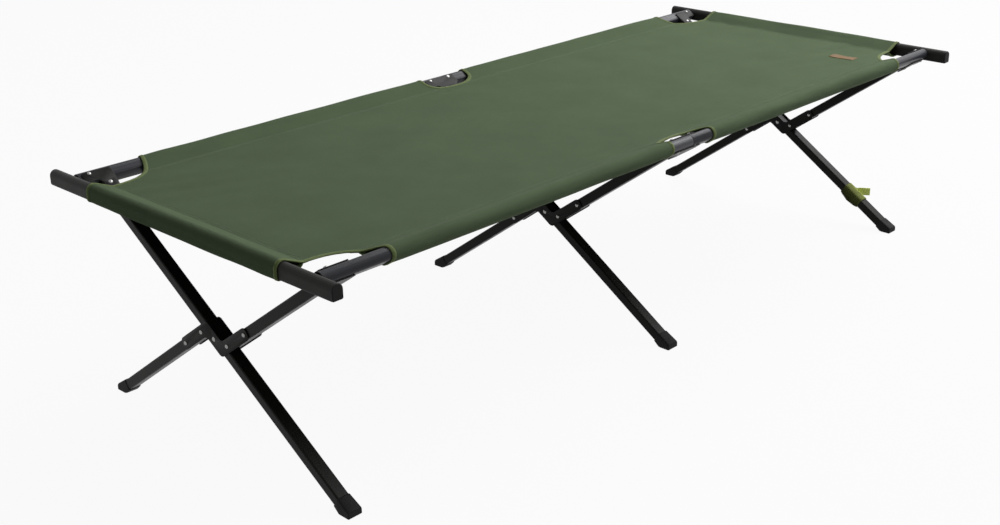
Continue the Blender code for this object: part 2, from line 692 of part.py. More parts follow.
def cut_deck_corners(deck, half):
    """Cuts the canvas back from each corner, in a hollow curve from the end sleeve to the rail sleeve."""
    flat = Matrix.Translation((0, 0, RAIL_Z))
    beyond = RAIL_Y + CANVAS_CUT_REACH
    for end, sign in ENDS.items():
        for side, turn in SIDES.items():
            start = Vector((sign * (half - END_BAR_DEPTH / 2), turn * END_SLEEVE_HALF))
            stop = Vector((sign * (half - CORNER_CUT_LENGTH), turn * SEAM_Y))
            outline = bulged(start, stop, -sign * turn * CORNER_CUT_BULGE)
            outline += [
                (stop.x - sign * CORNER_CUT_SLANT, turn * beyond),
                (sign * (COT_LENGTH / 2 + CANVAS_CUT_REACH), turn * beyond),
                (sign * (COT_LENGTH / 2 + CANVAS_CUT_REACH), turn * END_SLEEVE_HALF),
            ]
            cut = prism(f"{end}_{side}_corner_cut", [outline], -CANVAS_CUT_REACH, CANVAS_CUT_REACH, flat)
            shape_with(deck, "DIFFERENCE", cut)


def cut_deck_sides(deck):
    """Cuts the canvas away round the middle leg brackets, square across each rail and round inboard."""
    flat = Matrix.Translation((0, 0, RAIL_Z))
    depth = SIDE_CUT_DEPTH - SIDE_CUT_SQUARE
    edge = RAIL_Y - SIDE_CUT_SQUARE
    for side, turn in SIDES.items():
        outline = [(SIDE_CUT_HALF * x, turn * (edge - depth * y)) for x, y in arc((0, 0), 1, 0, math.pi, 16)]
        outline += [(sign * SIDE_CUT_HALF, turn * (RAIL_Y + CANVAS_CUT_REACH)) for sign in (-1, 1)]
        cut = prism(f"{side}_side_cut", [outline], -CANVAS_CUT_REACH, CANVAS_CUT_REACH, flat)
        shape_with(deck, "DIFFERENCE", cut)


def bulged(start, stop, bulge, steps=8):
    """Points along an arc between two points, standing off the line between them by the bulge."""
    line = stop - start
    side = Vector((line.y, -line.x)).normalized()
    points = []
    for step in range(steps + 1):
        share = step / steps
        points.append(start + line * share + side * bulge * 4 * share * (1 - share))
    return [(point.x, point.y) for point in points]


def make_label():
    """A bare patch sewn on the deck beside the far right corner."""
    centre = Vector((COT_LENGTH / 2 - LABEL_FROM_END, LABEL_FROM_RAIL - RAIL_Y, DECK_TOP + TOUCH_GAP))
    outline = box_section(LABEL_LENGTH, LABEL_WIDTH, 0, LABEL_THICKNESS)
    prism("label_patch", [outline], 0, LABEL_THICKNESS, frame_at(centre, ALONG, ACROSS), "brown_patch")


def make_strap():
    """A webbing strap round the far straight leg, with a short loose tail."""
    pivot = pivot_place(STATIONS["far"])
    frame = leg_frame(pivot, LEFT_UP)
    boot_top = BOOT_LENGTH - leg_floor_reach(pivot, LEFT_UP)
    low = boot_top + STRAP_ABOVE_BOOT
    outer = box_section(LEG_HEIGHT, LEG_DEPTH, TOUCH_GAP + STRAP_THICKNESS, LEG_CORNER_RADIUS)
    inner = box_section(LEG_HEIGHT, LEG_DEPTH, TOUCH_GAP, LEG_CORNER_RADIUS)
    strap = prism("storage_strap", [outer, inner], low, low + STRAP_WIDTH, frame, "lime_webbing")
    root = LEG_DEPTH / 2 + TOUCH_GAP + STRAP_THICKNESS / 2
    tail = block(
        "storage_strap_tail", (STRAP_TAIL_LENGTH, STRAP_THICKNESS, STRAP_TAIL_WIDTH),
        moved(frame, root + STRAP_TAIL_LENGTH / 2, 0, low + STRAP_WIDTH / 2),
    )
    shape_with(strap, "UNION", tail)


def make_cot():
    """Every piece of the cot."""
    holes = make_holes()
    peg_cutters = {}
    for end, sign in ENDS.items():
        peg_cutters[end, "left"] = bore_cutter(f"{end}_left_peg_bore", sign, "left")
        peg_cutters[end, "right"] = slot_cutter(f"{end}_right_peg_slot", sign)
    floor = block(
        "floor", (2 * COT_LENGTH, 2 * END_BAR_LENGTH, COT_HEIGHT), Matrix.Translation((0, 0, -COT_HEIGHT / 2)),
    )
    make_rails(holes, peg_cutters)
    make_plugs(holes, peg_cutters)
    make_brackets(holes, peg_cutters)
    for station in STATIONS:
        make_straight_leg(station, holes, floor)
        make_split_leg(station, holes, floor)
        make_crank_plates(station, holes)
    make_end_bars()
    make_deck()
    make_label()
    make_strap()


make_cot()
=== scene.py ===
"""Looks for the folding camping cot: canvas deck, binding, stitching, label, strap, rivets and finishes.

X runs along the cot, Y across it and Z up, in metres, with the origin on the floor under its centre.
"""
import json
import math

import bmesh
import bpy
from bpy.props import FloatProperty, FloatVectorProperty, PointerProperty
from mathutils import Matrix, Vector, noise
from mathutils.geometry import convex_hull_2d

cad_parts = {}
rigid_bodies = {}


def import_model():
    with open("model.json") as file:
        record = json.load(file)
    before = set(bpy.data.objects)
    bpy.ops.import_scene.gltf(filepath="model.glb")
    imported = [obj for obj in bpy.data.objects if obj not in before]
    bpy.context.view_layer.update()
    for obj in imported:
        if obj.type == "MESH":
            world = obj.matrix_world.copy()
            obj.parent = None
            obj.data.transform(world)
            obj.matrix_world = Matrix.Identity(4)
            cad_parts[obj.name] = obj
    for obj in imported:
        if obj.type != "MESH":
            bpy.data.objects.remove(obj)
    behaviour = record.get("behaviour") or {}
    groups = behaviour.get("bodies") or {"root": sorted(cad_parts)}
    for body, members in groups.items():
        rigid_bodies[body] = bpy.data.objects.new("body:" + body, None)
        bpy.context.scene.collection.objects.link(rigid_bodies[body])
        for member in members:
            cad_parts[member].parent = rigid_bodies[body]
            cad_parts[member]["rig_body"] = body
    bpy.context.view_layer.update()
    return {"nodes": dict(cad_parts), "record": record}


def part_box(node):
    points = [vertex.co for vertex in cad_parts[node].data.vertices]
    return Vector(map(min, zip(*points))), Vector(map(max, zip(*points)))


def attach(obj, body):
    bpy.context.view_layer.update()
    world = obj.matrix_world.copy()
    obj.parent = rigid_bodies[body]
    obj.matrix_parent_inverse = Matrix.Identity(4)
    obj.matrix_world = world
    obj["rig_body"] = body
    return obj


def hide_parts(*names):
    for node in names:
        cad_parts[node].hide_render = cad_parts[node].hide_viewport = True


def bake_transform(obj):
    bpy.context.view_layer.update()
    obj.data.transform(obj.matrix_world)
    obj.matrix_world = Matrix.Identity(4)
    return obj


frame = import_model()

bl_info = {
    "name": "Folding camping cot",
    "version": (1, 0, 0),
    "blender": (4, 5, 0),
    "location": "3D View > Sidebar > Cot",
    "description": "Dresses the camping cot's frame with its canvas, trim, fastenings and finishes",
    "category": "Object",
}

# The frame's own sizes
HALF_LENGTH = 0.95
RAIL_Y = 0.345
RAIL_Z = 0.444
PIVOT = Vector((0.0, 0.005, 0.2215))
RAIL_WIDTH = 0.0235
RAIL_HEIGHT = 0.028
BAR_DEPTH = 0.022
BAR_HEIGHT = 0.028
FOOT_RADIUS = 0.0025           # of the lower edges of a rail's or an end bar's section
LEG_HEIGHT = 0.0205
LEG_DEPTH = 0.025
CRANK = 0.0235
TOUCH_GAP = 0.0003
CHEEK_THICKNESS = 0.002
PLATE_THICKNESS = 0.002
PLATE_RIVET_MARGIN = 0.006
PLATE_RIVET_SPACING = 0.066
RIVET_SHANK = 0.003
TIE_RIVET_REACH = 0.0275       # along the rail from a bracket's hinge rivet to its tie rivet
TIE_RIVET_WAYS = {"near": -1, "middle": -1, "far": 1}
STATIONS = {"near": -0.879, "middle": -0.0165, "far": 0.879}
ENDS = (("near", -1), ("far", 1))
SIDES = (("left", 1), ("right", -1))
LEG_TILT = math.atan2(RAIL_Z - PIVOT.z, RAIL_Y - PIVOT.y)
RIGHT_REACH = math.hypot(RAIL_Y + PIVOT.y, RAIL_Z - PIVOT.z)
SPLIT_TILT = math.atan2(RAIL_Z - PIVOT.z, RAIL_Y + PIVOT.y) + math.asin(CRANK / RIGHT_REACH)
LEFT_UP = Vector((0, math.cos(LEG_TILT), math.sin(LEG_TILT)))
RIGHT_UP = Vector((0, -math.cos(SPLIT_TILT), math.sin(SPLIT_TILT)))
ALONG = Vector((1, 0, 0))
ACROSS = Vector((0, 1, 0))
UP = Vector((0, 0, 1))

# Where the canvas ends: the seams of its sleeves, and the cuts at its corners and sides
SEAM_INSET = 0.040             # from the middle of a rail or an end bar to the seam beside it
SEAM_Y = RAIL_Y - SEAM_INSET
BAR_X = HALF_LENGTH - BAR_DEPTH / 2
SEAM_X = BAR_X - SEAM_INSET
END_SLEEVE_HALF = 0.273        # half the length of the sleeve round an end bar
SIDE_CUT_HALF = 0.064          # half the length of a side cut
SIDE_CUT_START = 0.303         # how far out the side cut begins
SIDE_CUT_SQUARE = 0.333        # how far out it has its full length
SIDE_CUT_POWER = 2.15          # how square its corners are
CORNER_CUT = [                 # a corner cut, as (distance across, distance along)
    (0.273, 0.899), (0.2742, 0.880), (0.2765, 0.862), (0.2815, 0.844), (0.290, 0.828),
    (0.301, 0.815), (0.314, 0.805), (0.329, 0.797), (0.345, 0.792), (0.362, 0.789),
]

# How the canvas lies
SLEEVE_SLACK = 0.0045          # how far the cloth under a bar hangs below a straight line
SLACK_LEAN = 0.8               # below 1, it hangs lowest nearer the bar
HEM_DROP = 0.0014              # how far under the web the cloth comes back to the seam
HEM_STEP = 0.0035
HEM_POINTS = 3
SLEEVE_SWELL = 0.0004          # how far a sleeve stands out, and the height of its waves
SLEEVE_WAVE = 0.0013
SEAM_CALM = 0.006              # how far from a seam a sleeve's waves begin, and where they are full
SEAM_WAVY = 0.020
MOUTH_CALM = 0.010             # the same from a sleeve's mouth
MOUTH_WAVY = 0.045
LONG_RIPPLE = 0.0011           # heights of the web's ripples, and of the lines drawn from its corners
SHORT_RIPPLE = 0.0007
CORNER_PULL = 0.0006
PULL_PLACE = 0.27              # how far across the lines drawn from a corner leave its seam
PULL_LEAN = 0.35               # how they lean
PULL_REACH = 0.22              # how far along the cot they go
PULL_WAVES = 95                # how close they lie, in radians to the metre
PULL_FADE = (0.02, 0.16)       # how far across they begin, and where they have their full height
RIPPLE_EDGE = 0.09             # how far in from the side seams the ripples have their full height
SAG_EDGE = 0.16                # how far in from the end seams the sag has its full depth
SIDE_DIP = 0.0016              # how far the web dips beside the side cuts
DIP_LENGTH = 0.075             # half the length over which it dips
DIP_FADE = (0.22, 0.30)        # how far across it begins to dip, and where it dips in full
DIP_EDGE = 0.03                # how far in from the side seams dips and puckers have their full depth
PUCKER_WIDTH = 0.0055
PUCKERS = [                    # small folds beside the seams, as (x, y, lean, half length, depth)
    (-0.050, 0.2785, 0.35, 0.016, 0.0022), (-0.120, -0.276, 0.25, 0.040, 0.0012),
    (-0.165, -0.262, 0.10, 0.050, 0.0009), (0.110, -0.280, -0.20, 0.035, 0.0010),
    (0.120, 0.276, -0.30, 0.030, 0.0008),
]

# How closely the cloth and its trim are meshed
MERGE_DISTANCE = 0.00001
COLUMNS = 84                   # steps from the middle of the cot to the cloth's end
WEB_STEPS = 26                 # even steps from the middle line out to the end sleeve's mouth
MARGIN_ROWS = [                # closer lines from there to the seam, as distances across
    0.2690, 0.2730, 0.2746, 0.2775, 0.2805, 0.2840, 0.2890, 0.2940, 0.2985,
    SIDE_CUT_START, 0.30315, 0.3035, 0.3041,
]
POCKET_STEP = 0.0032           # spacing of the cloth's lines round a bar
SLACK_STEPS = 12
CORNER_STEPS = 16
SIDE_STEPS = 12
EDGE_STEP = 0.0035             # spacing of the trim's points along a cut edge
TRIM_REACH = 0.005             # how far below the web the trim still counts as lying on it
SEAM_CLEAR = 0.0001            # an edge's points nearer the seam than this are left to its sleeve

# The trim
TAPE_GAP = 0.0001              # from the cloth to the binding tape
TAPE_THICKNESS = 0.0006
TAPE_CROWN = 0.0002            # how far the tape swells in the middle of its upper face
TAPE_NOSE = 0.0013             # how far its fold stands past the cut edge
TAPE_SHOULDER = 0.0010
TAPE_STEP = 0.002              # flat distance from one line of the tape to the next
STITCH_SHAPE = (               # a stitch's rings, as (share of its length, share of its thickness)
    (-0.5, 0.25), (-0.3, 1.0), (0.3, 1.0), (0.5, 0.25),
)
STITCH_SIDES = 6
STITCH_PITCH = 1.45            # from one stitch to the next, in stitch lengths
BINDING_PITCH = 0.8            # the gap asked for after a binding stitch, in stitch pitches
STITCH_RISE = 0.00022          # how far a seam stitch's middle line lies above the cloth
STITCH_MARGIN = 0.012          # how far short of the cloth's ends the seam rows stop
SEAM_ROWS = (0.0030, 0.0085)   # distances of the two rows of stitches from their seam
BINDING_ROW = 0.62             # where the binding is sewn, as a share of its width
BINDING_TOP = 0.0009
THREAD_SHADE = 1.6             # how much lighter the thread is than what it sews

# The label patch
LABEL_STEPS = (12, 26)
LABEL_LOW = 0.0001             # heights of its underside, top and border over the cloth
LABEL_HIGH = 0.0013
LABEL_EDGE_DROP = 0.0006       # how far its edges are pressed down
LABEL_CORNER_PULL = 0.035      # how far its corners are drawn in, as a share of its size
LABEL_BORDER = 0.0028          # from its edge to the border stitches
LABEL_PITCH = 0.0034
LABEL_STITCH = {"length": 0.0023, "width": 0.0006, "height": 0.0003}
LABEL_STITCH_TOP = 0.00135

# The storage strap, wound round the far straight leg
STRAP_MIDDLE = -0.2725         # its middle, up the leg from the pivot
STRAP_THICKNESS = 0.0014
STRAP_GAP = 0.0012             # from the leg's faces to the middle of the webbing
STRAP_CORNER = 0.0035          # radius of its turns round the leg's edges
STRAP_SLACK = 0.0060           # how far it hangs under the leg
STRAP_STEP = 0.0028
STRAP_ROWS = 14
STRAP_TUCK = 0.0018            # how far its hidden end stands out from the turn
TAIL_ROOT = 0.0008             # the same at the root of its tail
STRAP_CREASE = 0.0006          # height of its creases
CREASE_DEPTH = 0.0002          # how deep they may go towards the leg
CREASE_ACROSS = 15             # how the creases wave, in radians over the width
CREASE_ALONG = 0.55            # and from one line of the webbing to the next
# Painted shade along the strap, as (share of the length below, brightness): it darkens the webbing underneath
# the leg, and the webbing has its full colour at the tail
STRAP_PAINTED_SHADE = ((0.29, 0.02), (0.38, 0.05), (0.50, 0.14), (0.66, 0.27), (0.80, 1.0))
PAINTED_SHADE_LENGTH = 0.125          # the length that the painted shade's places are shares of
TAIL_STEPS = 13
TAIL_LENGTH = 0.031
TAIL_WIDTH = 0.019             # the width to which the tail is gathered
TAIL_GATHER = 0.12             # the shares of the tail in which it is gathered, twists and swings out
TAIL_TWIST = 0.45
TAIL_SWING = 0.3
TAIL_ALONG = 0.86              # how far it goes along the cot and across it, as shares of its length
TAIL_ACROSS = 0.62
TAIL_SHIFT = 0.001
TAIL_DROP = 0.004

# The softened solids and the rivet heads
SOFT_EDGES = {                 # the width of the softened edge, by the end of the piece's name
    "_boot": 0.0022, "_end_cap": 0.0030, "_rail": 0.0008, "_leg_bracket": 0.0004, "_crank_plate": 0.0004,
}
WELD_DISTANCE = 0.00002        # between a solid's corners that become one
FLAT_ANGLE = math.radians(1.5)    # between faces that become one
SHARP_ANGLE = math.radians(32)    # between faces whose edge is softened
COLLAR_DRAW = 0.0011           # how far a boot's collar is drawn in towards its leg
COLLAR_DEPTH = 0.0006
PLATE_HEAD_RISE = 0.0026
BRACKET_HEAD_RISE = 0.0024

# The stage
WHITE = (1.0, 1.0, 1.0)
FLOOR_HALF = 40.0
FLOOR_GREY = 0.50
FLOOR_WHITE = 0.94             # the share of plain white that the camera sees on the floor
SKY_LIGHT = 0.16
CAMERA_PLACE = Vector((-2.1359, -1.8988, 1.2646))
CAMERA_ANGLES = (44.11, 22.24, -0.888)   # heading, tilt down and roll, in degrees
CAMERA_LENS = 50.4


class CotSizes(bpy.types.PropertyGroup):
    """Sizes of the soft pieces and the trim."""
    canvas_thickness: FloatProperty(
        name="Canvas thickness", description="Thickness of the deck's cloth", default=0.0012, unit="LENGTH",
    )
    canvas_sag: FloatProperty(
        name="Canvas sag", description="How far the deck's middle hangs below its edges", default=0.004,
        unit="LENGTH",
    )
    sleeve_ease: FloatProperty(
        name="Sleeve ease", description="Gap from a bar to the middle of the cloth round it", default=0.0017,
        unit="LENGTH",
    )
    binding_width: FloatProperty(
        name="Binding width", description="Width of the tape folded over the cut edges", default=0.0070,
        unit="LENGTH",
    )
    stitch_length: FloatProperty(
        name="Stitch length", description="Length of one stitch", default=0.0030, unit="LENGTH",
    )
    strap_width: FloatProperty(
        name="Strap width", description="Width of the storage strap's webbing", default=0.056, unit="LENGTH",
    )
    rivet_radius: FloatProperty(
        name="Rivet head radius", description="Radius of the domed rivet heads", default=0.0041,
        unit="LENGTH",
    )


class CotColours(bpy.types.PropertyGroup):
    """Base colours of the finishes."""
    canvas: FloatVectorProperty(
        name="Canvas", description="The deck's olive cloth", subtype="COLOR", size=3, min=0, max=1,
        default=(0.086, 0.122, 0.066),
    )
    binding: FloatVectorProperty(
        name="Binding", description="The tape on the cut edges", subtype="COLOR", size=3, min=0, max=1,
        default=(0.118, 0.155, 0.056),
    )
    enamel: FloatVectorProperty(
        name="Enamel", description="The satin enamel of the tubes", subtype="COLOR", size=3, min=0, max=1,
        default=(0.0070, 0.0069, 0.0060),
    )
    rails: FloatVectorProperty(
        name="Rails", description="The gunmetal enamel of the side rails", subtype="COLOR", size=3,
        min=0, max=1, default=(0.026, 0.027, 0.033),
    )
    steel: FloatVectorProperty(
        name="Steel", description="The bright rivets", subtype="COLOR", size=3, min=0, max=1,
        default=(0.25, 0.25, 0.245),
    )
    label: FloatVectorProperty(
        name="Label", description="The bare leather patch", subtype="COLOR", size=3, min=0, max=1,
        default=(0.150, 0.079, 0.020),
    )
    webbing: FloatVectorProperty(
        name="Webbing", description="The storage strap", subtype="COLOR", size=3, min=0, max=1,
        default=(0.62, 0.71, 0.17),
    )
    plastic: FloatVectorProperty(
        name="Plastic", description="The end caps", subtype="COLOR", size=3, min=0, max=1,
        default=(0.0060, 0.0058, 0.0054),
    )
    rubber: FloatVectorProperty(
        name="Rubber", description="The boots on the feet", subtype="COLOR", size=3, min=0, max=1,
        default=(0.0055, 0.0055, 0.0053),
    )
    label_thread: FloatVectorProperty(
        name="Label thread", description="The stitches round the patch", subtype="COLOR", size=3,
        min=0, max=1, default=(0.42, 0.30, 0.17),
    )


def frame_at(origin, first, second):
    """A frame whose first two axes are given, with the third square to both."""
    axes = Matrix((first, second, first.cross(second))).transposed().to_4x4()
    axes.translation = origin
    return axes


def smooth_step(value, low, high):
    """Rises smoothly from 0 at low to 1 at high."""
    share = min(max((value - low) / (high - low), 0.0), 1.0)
    return share * share * (3 - 2 * share)


def arc(centre, radius, first, last, steps):
    """Points along an arc between two angles."""
    angles = [first + (last - first) * step / steps for step in range(steps + 1)]
    return [(centre[0] + radius * math.cos(a), centre[1] + radius * math.sin(a)) for a in angles]


def loaf_section(width, height, grow):
    """A bar's outline: flat sides and foot, with the top rounded over the whole width."""
    half = width / 2 + grow
    foot_radius = FOOT_RADIUS + grow
    foot = -height / 2 - grow + foot_radius
    corner = half - foot_radius
    return (
        arc((0, height / 2 + grow - half), half, 0, math.pi, 20)
        + arc((-corner, foot), foot_radius, math.pi, 1.5 * math.pi, 4)
        + arc((corner, foot), foot_radius, 1.5 * math.pi, 2 * math.pi, 4)
    )


def resampled(points, step):
    """The same open line with its points spread evenly, about one step apart."""
    spans = [(Vector(b) - Vector(a)).length for a, b in zip(points, points[1:])]
    count = max(2, round(sum(spans) / step))
    target = sum(spans) / count
    result = [Vector(points[0])]
    travelled = 0.0
    for a, b, span in zip(points, points[1:], spans):
        while len(result) < count and travelled + span >= len(result) * target:
            share = (len(result) * target - travelled) / span
            result.append(Vector(a).lerp(Vector(b), share))
        travelled += span
    result.append(Vector(points[-1]))
    return result


def pocket(ring, seam):
    """A sleeve's line: from the seam over the bar, round it and slackly back underneath, then a short hem."""
    points = [Vector(seam)] + [Vector(point) for point in ring]
    order = convex_hull_2d(points)
    first = order.index(0)
    line = [points[index] for index in order[first:] + order[:first]]
    under = Vector(seam) - Vector((0, HEM_DROP))
    foot = line[1]
    slack = []
    for step in range(1, SLACK_STEPS):
        share = step / SLACK_STEPS
        hang = SLEEVE_SLACK * math.sin(math.pi * share ** SLACK_LEAN)
        slack.append(foot.lerp(under, share) - Vector((0, hang)))
    line = [Vector(seam)] + line[:0:-1] + slack + [under]
    hem = [under - Vector((HEM_STEP * number, 0)) for number in range(1, HEM_POINTS + 1)]
    return resampled(line, POCKET_STEP) + hem


def rail_ring(tilt, ease):
    """Round a rail at +Y, as (distance across, height)."""
    across = Vector((math.sin(tilt), -math.cos(tilt)))
    out = Vector((math.cos(tilt), math.sin(tilt)))
    middle = Vector((RAIL_Y, RAIL_Z))
    return [middle + across * x + out * y for x, y in loaf_section(RAIL_WIDTH, RAIL_HEIGHT, ease)]


def rail_pocket(turn, sizes):
    """The sleeve's line round a rail: the left one where turn is 1, the right one where it is -1."""
    return pocket(rail_ring(LEG_TILT if turn > 0 else SPLIT_TILT, sizes.sleeve_ease), (SEAM_Y, RAIL_Z))


def bar_ring(ease):
    """Round an end bar at +X, as (distance along, height)."""
    middle = Vector((BAR_X, RAIL_Z))
    return [middle + Vector(point) for point in loaf_section(BAR_DEPTH, BAR_HEIGHT, ease)]


def bar_pocket(sizes):
    """The sleeve's line round an end bar."""
    return pocket(bar_ring(sizes.sleeve_ease), (SEAM_X, RAIL_Z))


def cut_end(y):
    """How far along the cot the cloth reaches at this distance across."""
    y = abs(y)
    if y <= CORNER_CUT[0][0]:
        return SEAM_X
    for (y0, x0), (y1, x1) in zip(CORNER_CUT, CORNER_CUT[1:]):
        if y <= y1:
            return x0 + (x1 - x0) * (y - y0) / (y1 - y0)
    return CORNER_CUT[-1][1]


def side_start(y):
    """How far from the middle of the cot the cloth starts at this distance across, beside the side cut."""
    y = abs(y)
    if y <= SIDE_CUT_START:
        return 0.0
    if y >= SIDE_CUT_SQUARE:
        return SIDE_CUT_HALF
    share = (SIDE_CUT_SQUARE - y) / (SIDE_CUT_SQUARE - SIDE_CUT_START)
    return SIDE_CUT_HALF * (1 - share ** SIDE_CUT_POWER) ** (1 / SIDE_CUT_POWER)


def web_lift(x, y, sag):
    """Height of the cloth over its level plane: a slight sag with soft ripples, drawn corners and puckers."""
    inboard = smooth_step(SEAM_Y - abs(y), 0.0, RIPPLE_EDGE)
    inward = smooth_step(SEAM_X - abs(x), 0.0, SAG_EDGE)
    hang = -sag * (1 - (y / SEAM_Y) ** 2) * inward
    ripple = LONG_RIPPLE * noise.noise(Vector((x * 2.6, y * 5.0, 3.1)))
    ripple += SHORT_RIPPLE * noise.noise(Vector((x * 7.0 + y * 3.0, y * 11.0 - x, 8.7)))
    pull = 0.0
    for end in (-1, 1):
        for side in (-1, 1):
            across = (y * side - PULL_PLACE) + (SEAM_X - x * end) * PULL_LEAN
            near = math.exp(-((SEAM_X - x * end) / PULL_REACH) ** 2)
            pull += CORNER_PULL * near * math.sin(across * PULL_WAVES) * smooth_step(y * side, *PULL_FADE)
    dip = -SIDE_DIP * math.exp(-(x / DIP_LENGTH) ** 2) * smooth_step(abs(y), *DIP_FADE)
    for centre_x, centre_y, lean, length, depth in PUCKERS:
        along = (x - centre_x) + (y - centre_y) * lean
        across = (y - centre_y) - (x - centre_x) * lean
        dip -= depth * math.exp(-(along / length) ** 2 - (across / PUCKER_WIDTH) ** 2)
    edge = smooth_step(SEAM_Y - abs(y), 0.0, DIP_EDGE)
    return hang + (ripple + pull * inboard) * inboard + dip * edge


def web_top(x, y, sizes):
    """Height of the web's upper face at a place."""
    return RAIL_Z + web_lift(x, y, sizes.canvas_sag) + sizes.canvas_thickness / 2


def new_piece(name, vertices, faces, material, slot=None, places=None):
    """A smooth mesh piece in the scene, in its finish, with a cloth's flat coordinates as its UV map."""
    mesh = bpy.data.meshes.new(name)
    mesh.from_pydata([tuple(vertex) for vertex in vertices], [], faces)
    if places:
        layer = mesh.uv_layers.new(name="cloth")
        corners = [0] * len(mesh.loops)
        mesh.loops.foreach_get("vertex_index", corners)
        layer.data.foreach_set("uv", [value for corner in corners for value in places[corner]])
    shape = bmesh.new()
    shape.from_mesh(mesh)
    bmesh.ops.remove_doubles(shape, verts=shape.verts, dist=MERGE_DISTANCE)
    bmesh.ops.recalc_face_normals(shape, faces=shape.faces)
    shape.to_mesh(mesh)
    shape.free()
    mesh.polygons.foreach_set("use_smooth", [True] * len(mesh.polygons))
    mesh.materials.append(material)
    piece = bpy.data.objects.new(name, mesh)
    bpy.context.scene.collection.objects.link(piece)
    return piece


def apply_modifiers(piece):
    """Makes the modifiers' result the piece's own mesh."""
    evaluated = piece.evaluated_get(bpy.context.evaluated_depsgraph_get())
    mesh = bpy.data.meshes.new_from_object(evaluated)
    old = piece.data
    piece.modifiers.clear()
    piece.data = mesh
    bpy.data.meshes.remove(old)


def thicken(piece, thickness):
    """Gives a sheet its thickness, half to each side."""
    solid = piece.modifiers.new("thickness", "SOLIDIFY")
    solid.thickness = thickness
    solid.offset = 0.0
    apply_modifiers(piece)


def bend_with_canvas(piece):
    """Bakes a piece on the deck into its mesh at its place in the world."""
    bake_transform(piece)


def join_rings(vertices, faces, rings):
    """Adds a body made of rings of points, joined one to the next and closed at both ends."""
    start, size = len(vertices), len(rings[0])
    for ring in rings:
        vertices.extend(ring)
    for row in range(len(rings) - 1):
        for index in range(size):
            a, b = start + row * size + index, start + row * size + (index + 1) % size
            faces.append((a, b, b + size, a + size))
    faces.append(tuple(range(start, start + size)))
    faces.append(tuple(range(len(vertices) - size, len(vertices))))


class Nodes:
    """A material's nodes, made and joined in short calls."""

    def __init__(self, name, colour, roughness, metallic=0.0):
        self.material = bpy.data.materials.new(name)
        self.material.use_nodes = True
        self.tree = self.material.node_tree
        self.shader = self.tree.nodes["Principled BSDF"]
        self.set(self.shader, Roughness=roughness, Metallic=metallic)
        self.shader.inputs["Base Color"].default_value = (*colour, 1.0)
        self.place = self.tree.nodes.new("ShaderNodeTexCoord").outputs["Object"]

    def set(self, node, **values):
        """Sets sockets by name, with underscores for spaces."""
        for name, value in values.items():
            node.inputs[name.replace("_", " ")].default_value = value

    def add(self, kind, **values):
        """A node of this kind with its sockets set."""
        node = self.tree.nodes.new("ShaderNode" + kind)
        self.set(node, **values)
        return node

    def join(self, output, node, socket):
        """Joins an output to a node's socket."""
        self.tree.links.new(output, node.inputs[socket])
        return node

    def noise(self, scale, detail=3.0, roughness=0.5, place=None):
        """A noise texture's value."""
        node = self.add("TexNoise", Scale=scale, Detail=detail, Roughness=roughness)
        return self.join(place or self.place, node, "Vector").outputs[0]

    def stretched(self, scale, place=None):
        """Coordinates scaled by axis."""
        node = self.add("Mapping", Scale=scale)
        return self.join(place or self.place, node, "Vector").outputs[0]

    def ramp(self, value, stops):
        """A colour ramp over a value."""
        node = self.add("ValToRGB")
        node.color_ramp.elements[0].position = stops[0][0]
        node.color_ramp.elements[0].color = stops[0][1]
        node.color_ramp.elements[1].position = stops[-1][0]
        node.color_ramp.elements[1].color = stops[-1][1]
        for position, colour in stops[1:-1]:
            node.color_ramp.elements.new(position).color = colour
        return self.join(value, node, "Fac").outputs[0]

    def range(self, value, low, high, from_low=0.3, from_high=0.7):
        """A value carried from one range to another."""
        node = self.add("MapRange")
        sockets = ("From Min", "From Max", "To Min", "To Max")
        for socket, number in zip(sockets, (from_low, from_high, low, high)):
            node.inputs[socket].default_value = number
        return self.join(value, node, "Value").outputs[0]

    def feed(self, node, socket, value):
        """Sets a socket to a number or a colour, or joins an output to it."""
        if isinstance(value, (int, float, tuple)):
            node.inputs[socket].default_value = value
        else:
            self.join(value, node, socket)

    def math(self, operation, first, second):
        """Two values combined."""
        node = self.add("Math")
        node.operation = operation
        self.feed(node, 0, first)
        self.feed(node, 1, second)
        return node.outputs[0]

    def tint(self, colour, value, darkest, lightest):
        """The base colour, made darker and lighter by a value."""
        stops = [
            (0.3, (*[channel * darkest for channel in colour], 1.0)),
            (0.7, (*[min(channel * lightest, 1.0) for channel in colour], 1.0)),
        ]
        return self.ramp(value, stops)

    def mixed(self, factor, first, second, blend="MIX"):
        """Two colours mixed."""
        node = self.add("Mix")
        node.data_type = "RGBA"
        node.blend_type = blend
        for socket, value in zip((0, 6, 7), (factor, first, second)):
            self.feed(node, socket, value)
        return node.outputs[2]

    def colour(self, output):
        """Joins the base colour."""
        self.join(output, self.shader, "Base Color")

    def rough(self, output):
        """Joins the roughness."""
        self.join(output, self.shader, "Roughness")

    def bump(self, height, distance, strength=1.0, after=None):
        """A bump from a height, over an earlier one, joined to the shader."""
        node = self.add("Bump", Distance=distance, Strength=strength)
        self.join(height, node, "Height")
        if after:
            self.join(after, node, "Normal")
        self.join(node.outputs[0], self.shader, "Normal")
        return node.outputs[0]

    def wave(self, direction, scale, place):
        """A band texture's value."""
        node = self.add("TexWave", Scale=scale, Distortion=0.0)
        node.bands_direction = direction
        return self.join(place, node, "Vector").outputs[1]


def cloth_coordinates(made):
    """The cloth's own flat coordinates, in metres."""
    node = made.add("UVMap")
    node.uv_map = "cloth"
    return node.outputs[0]


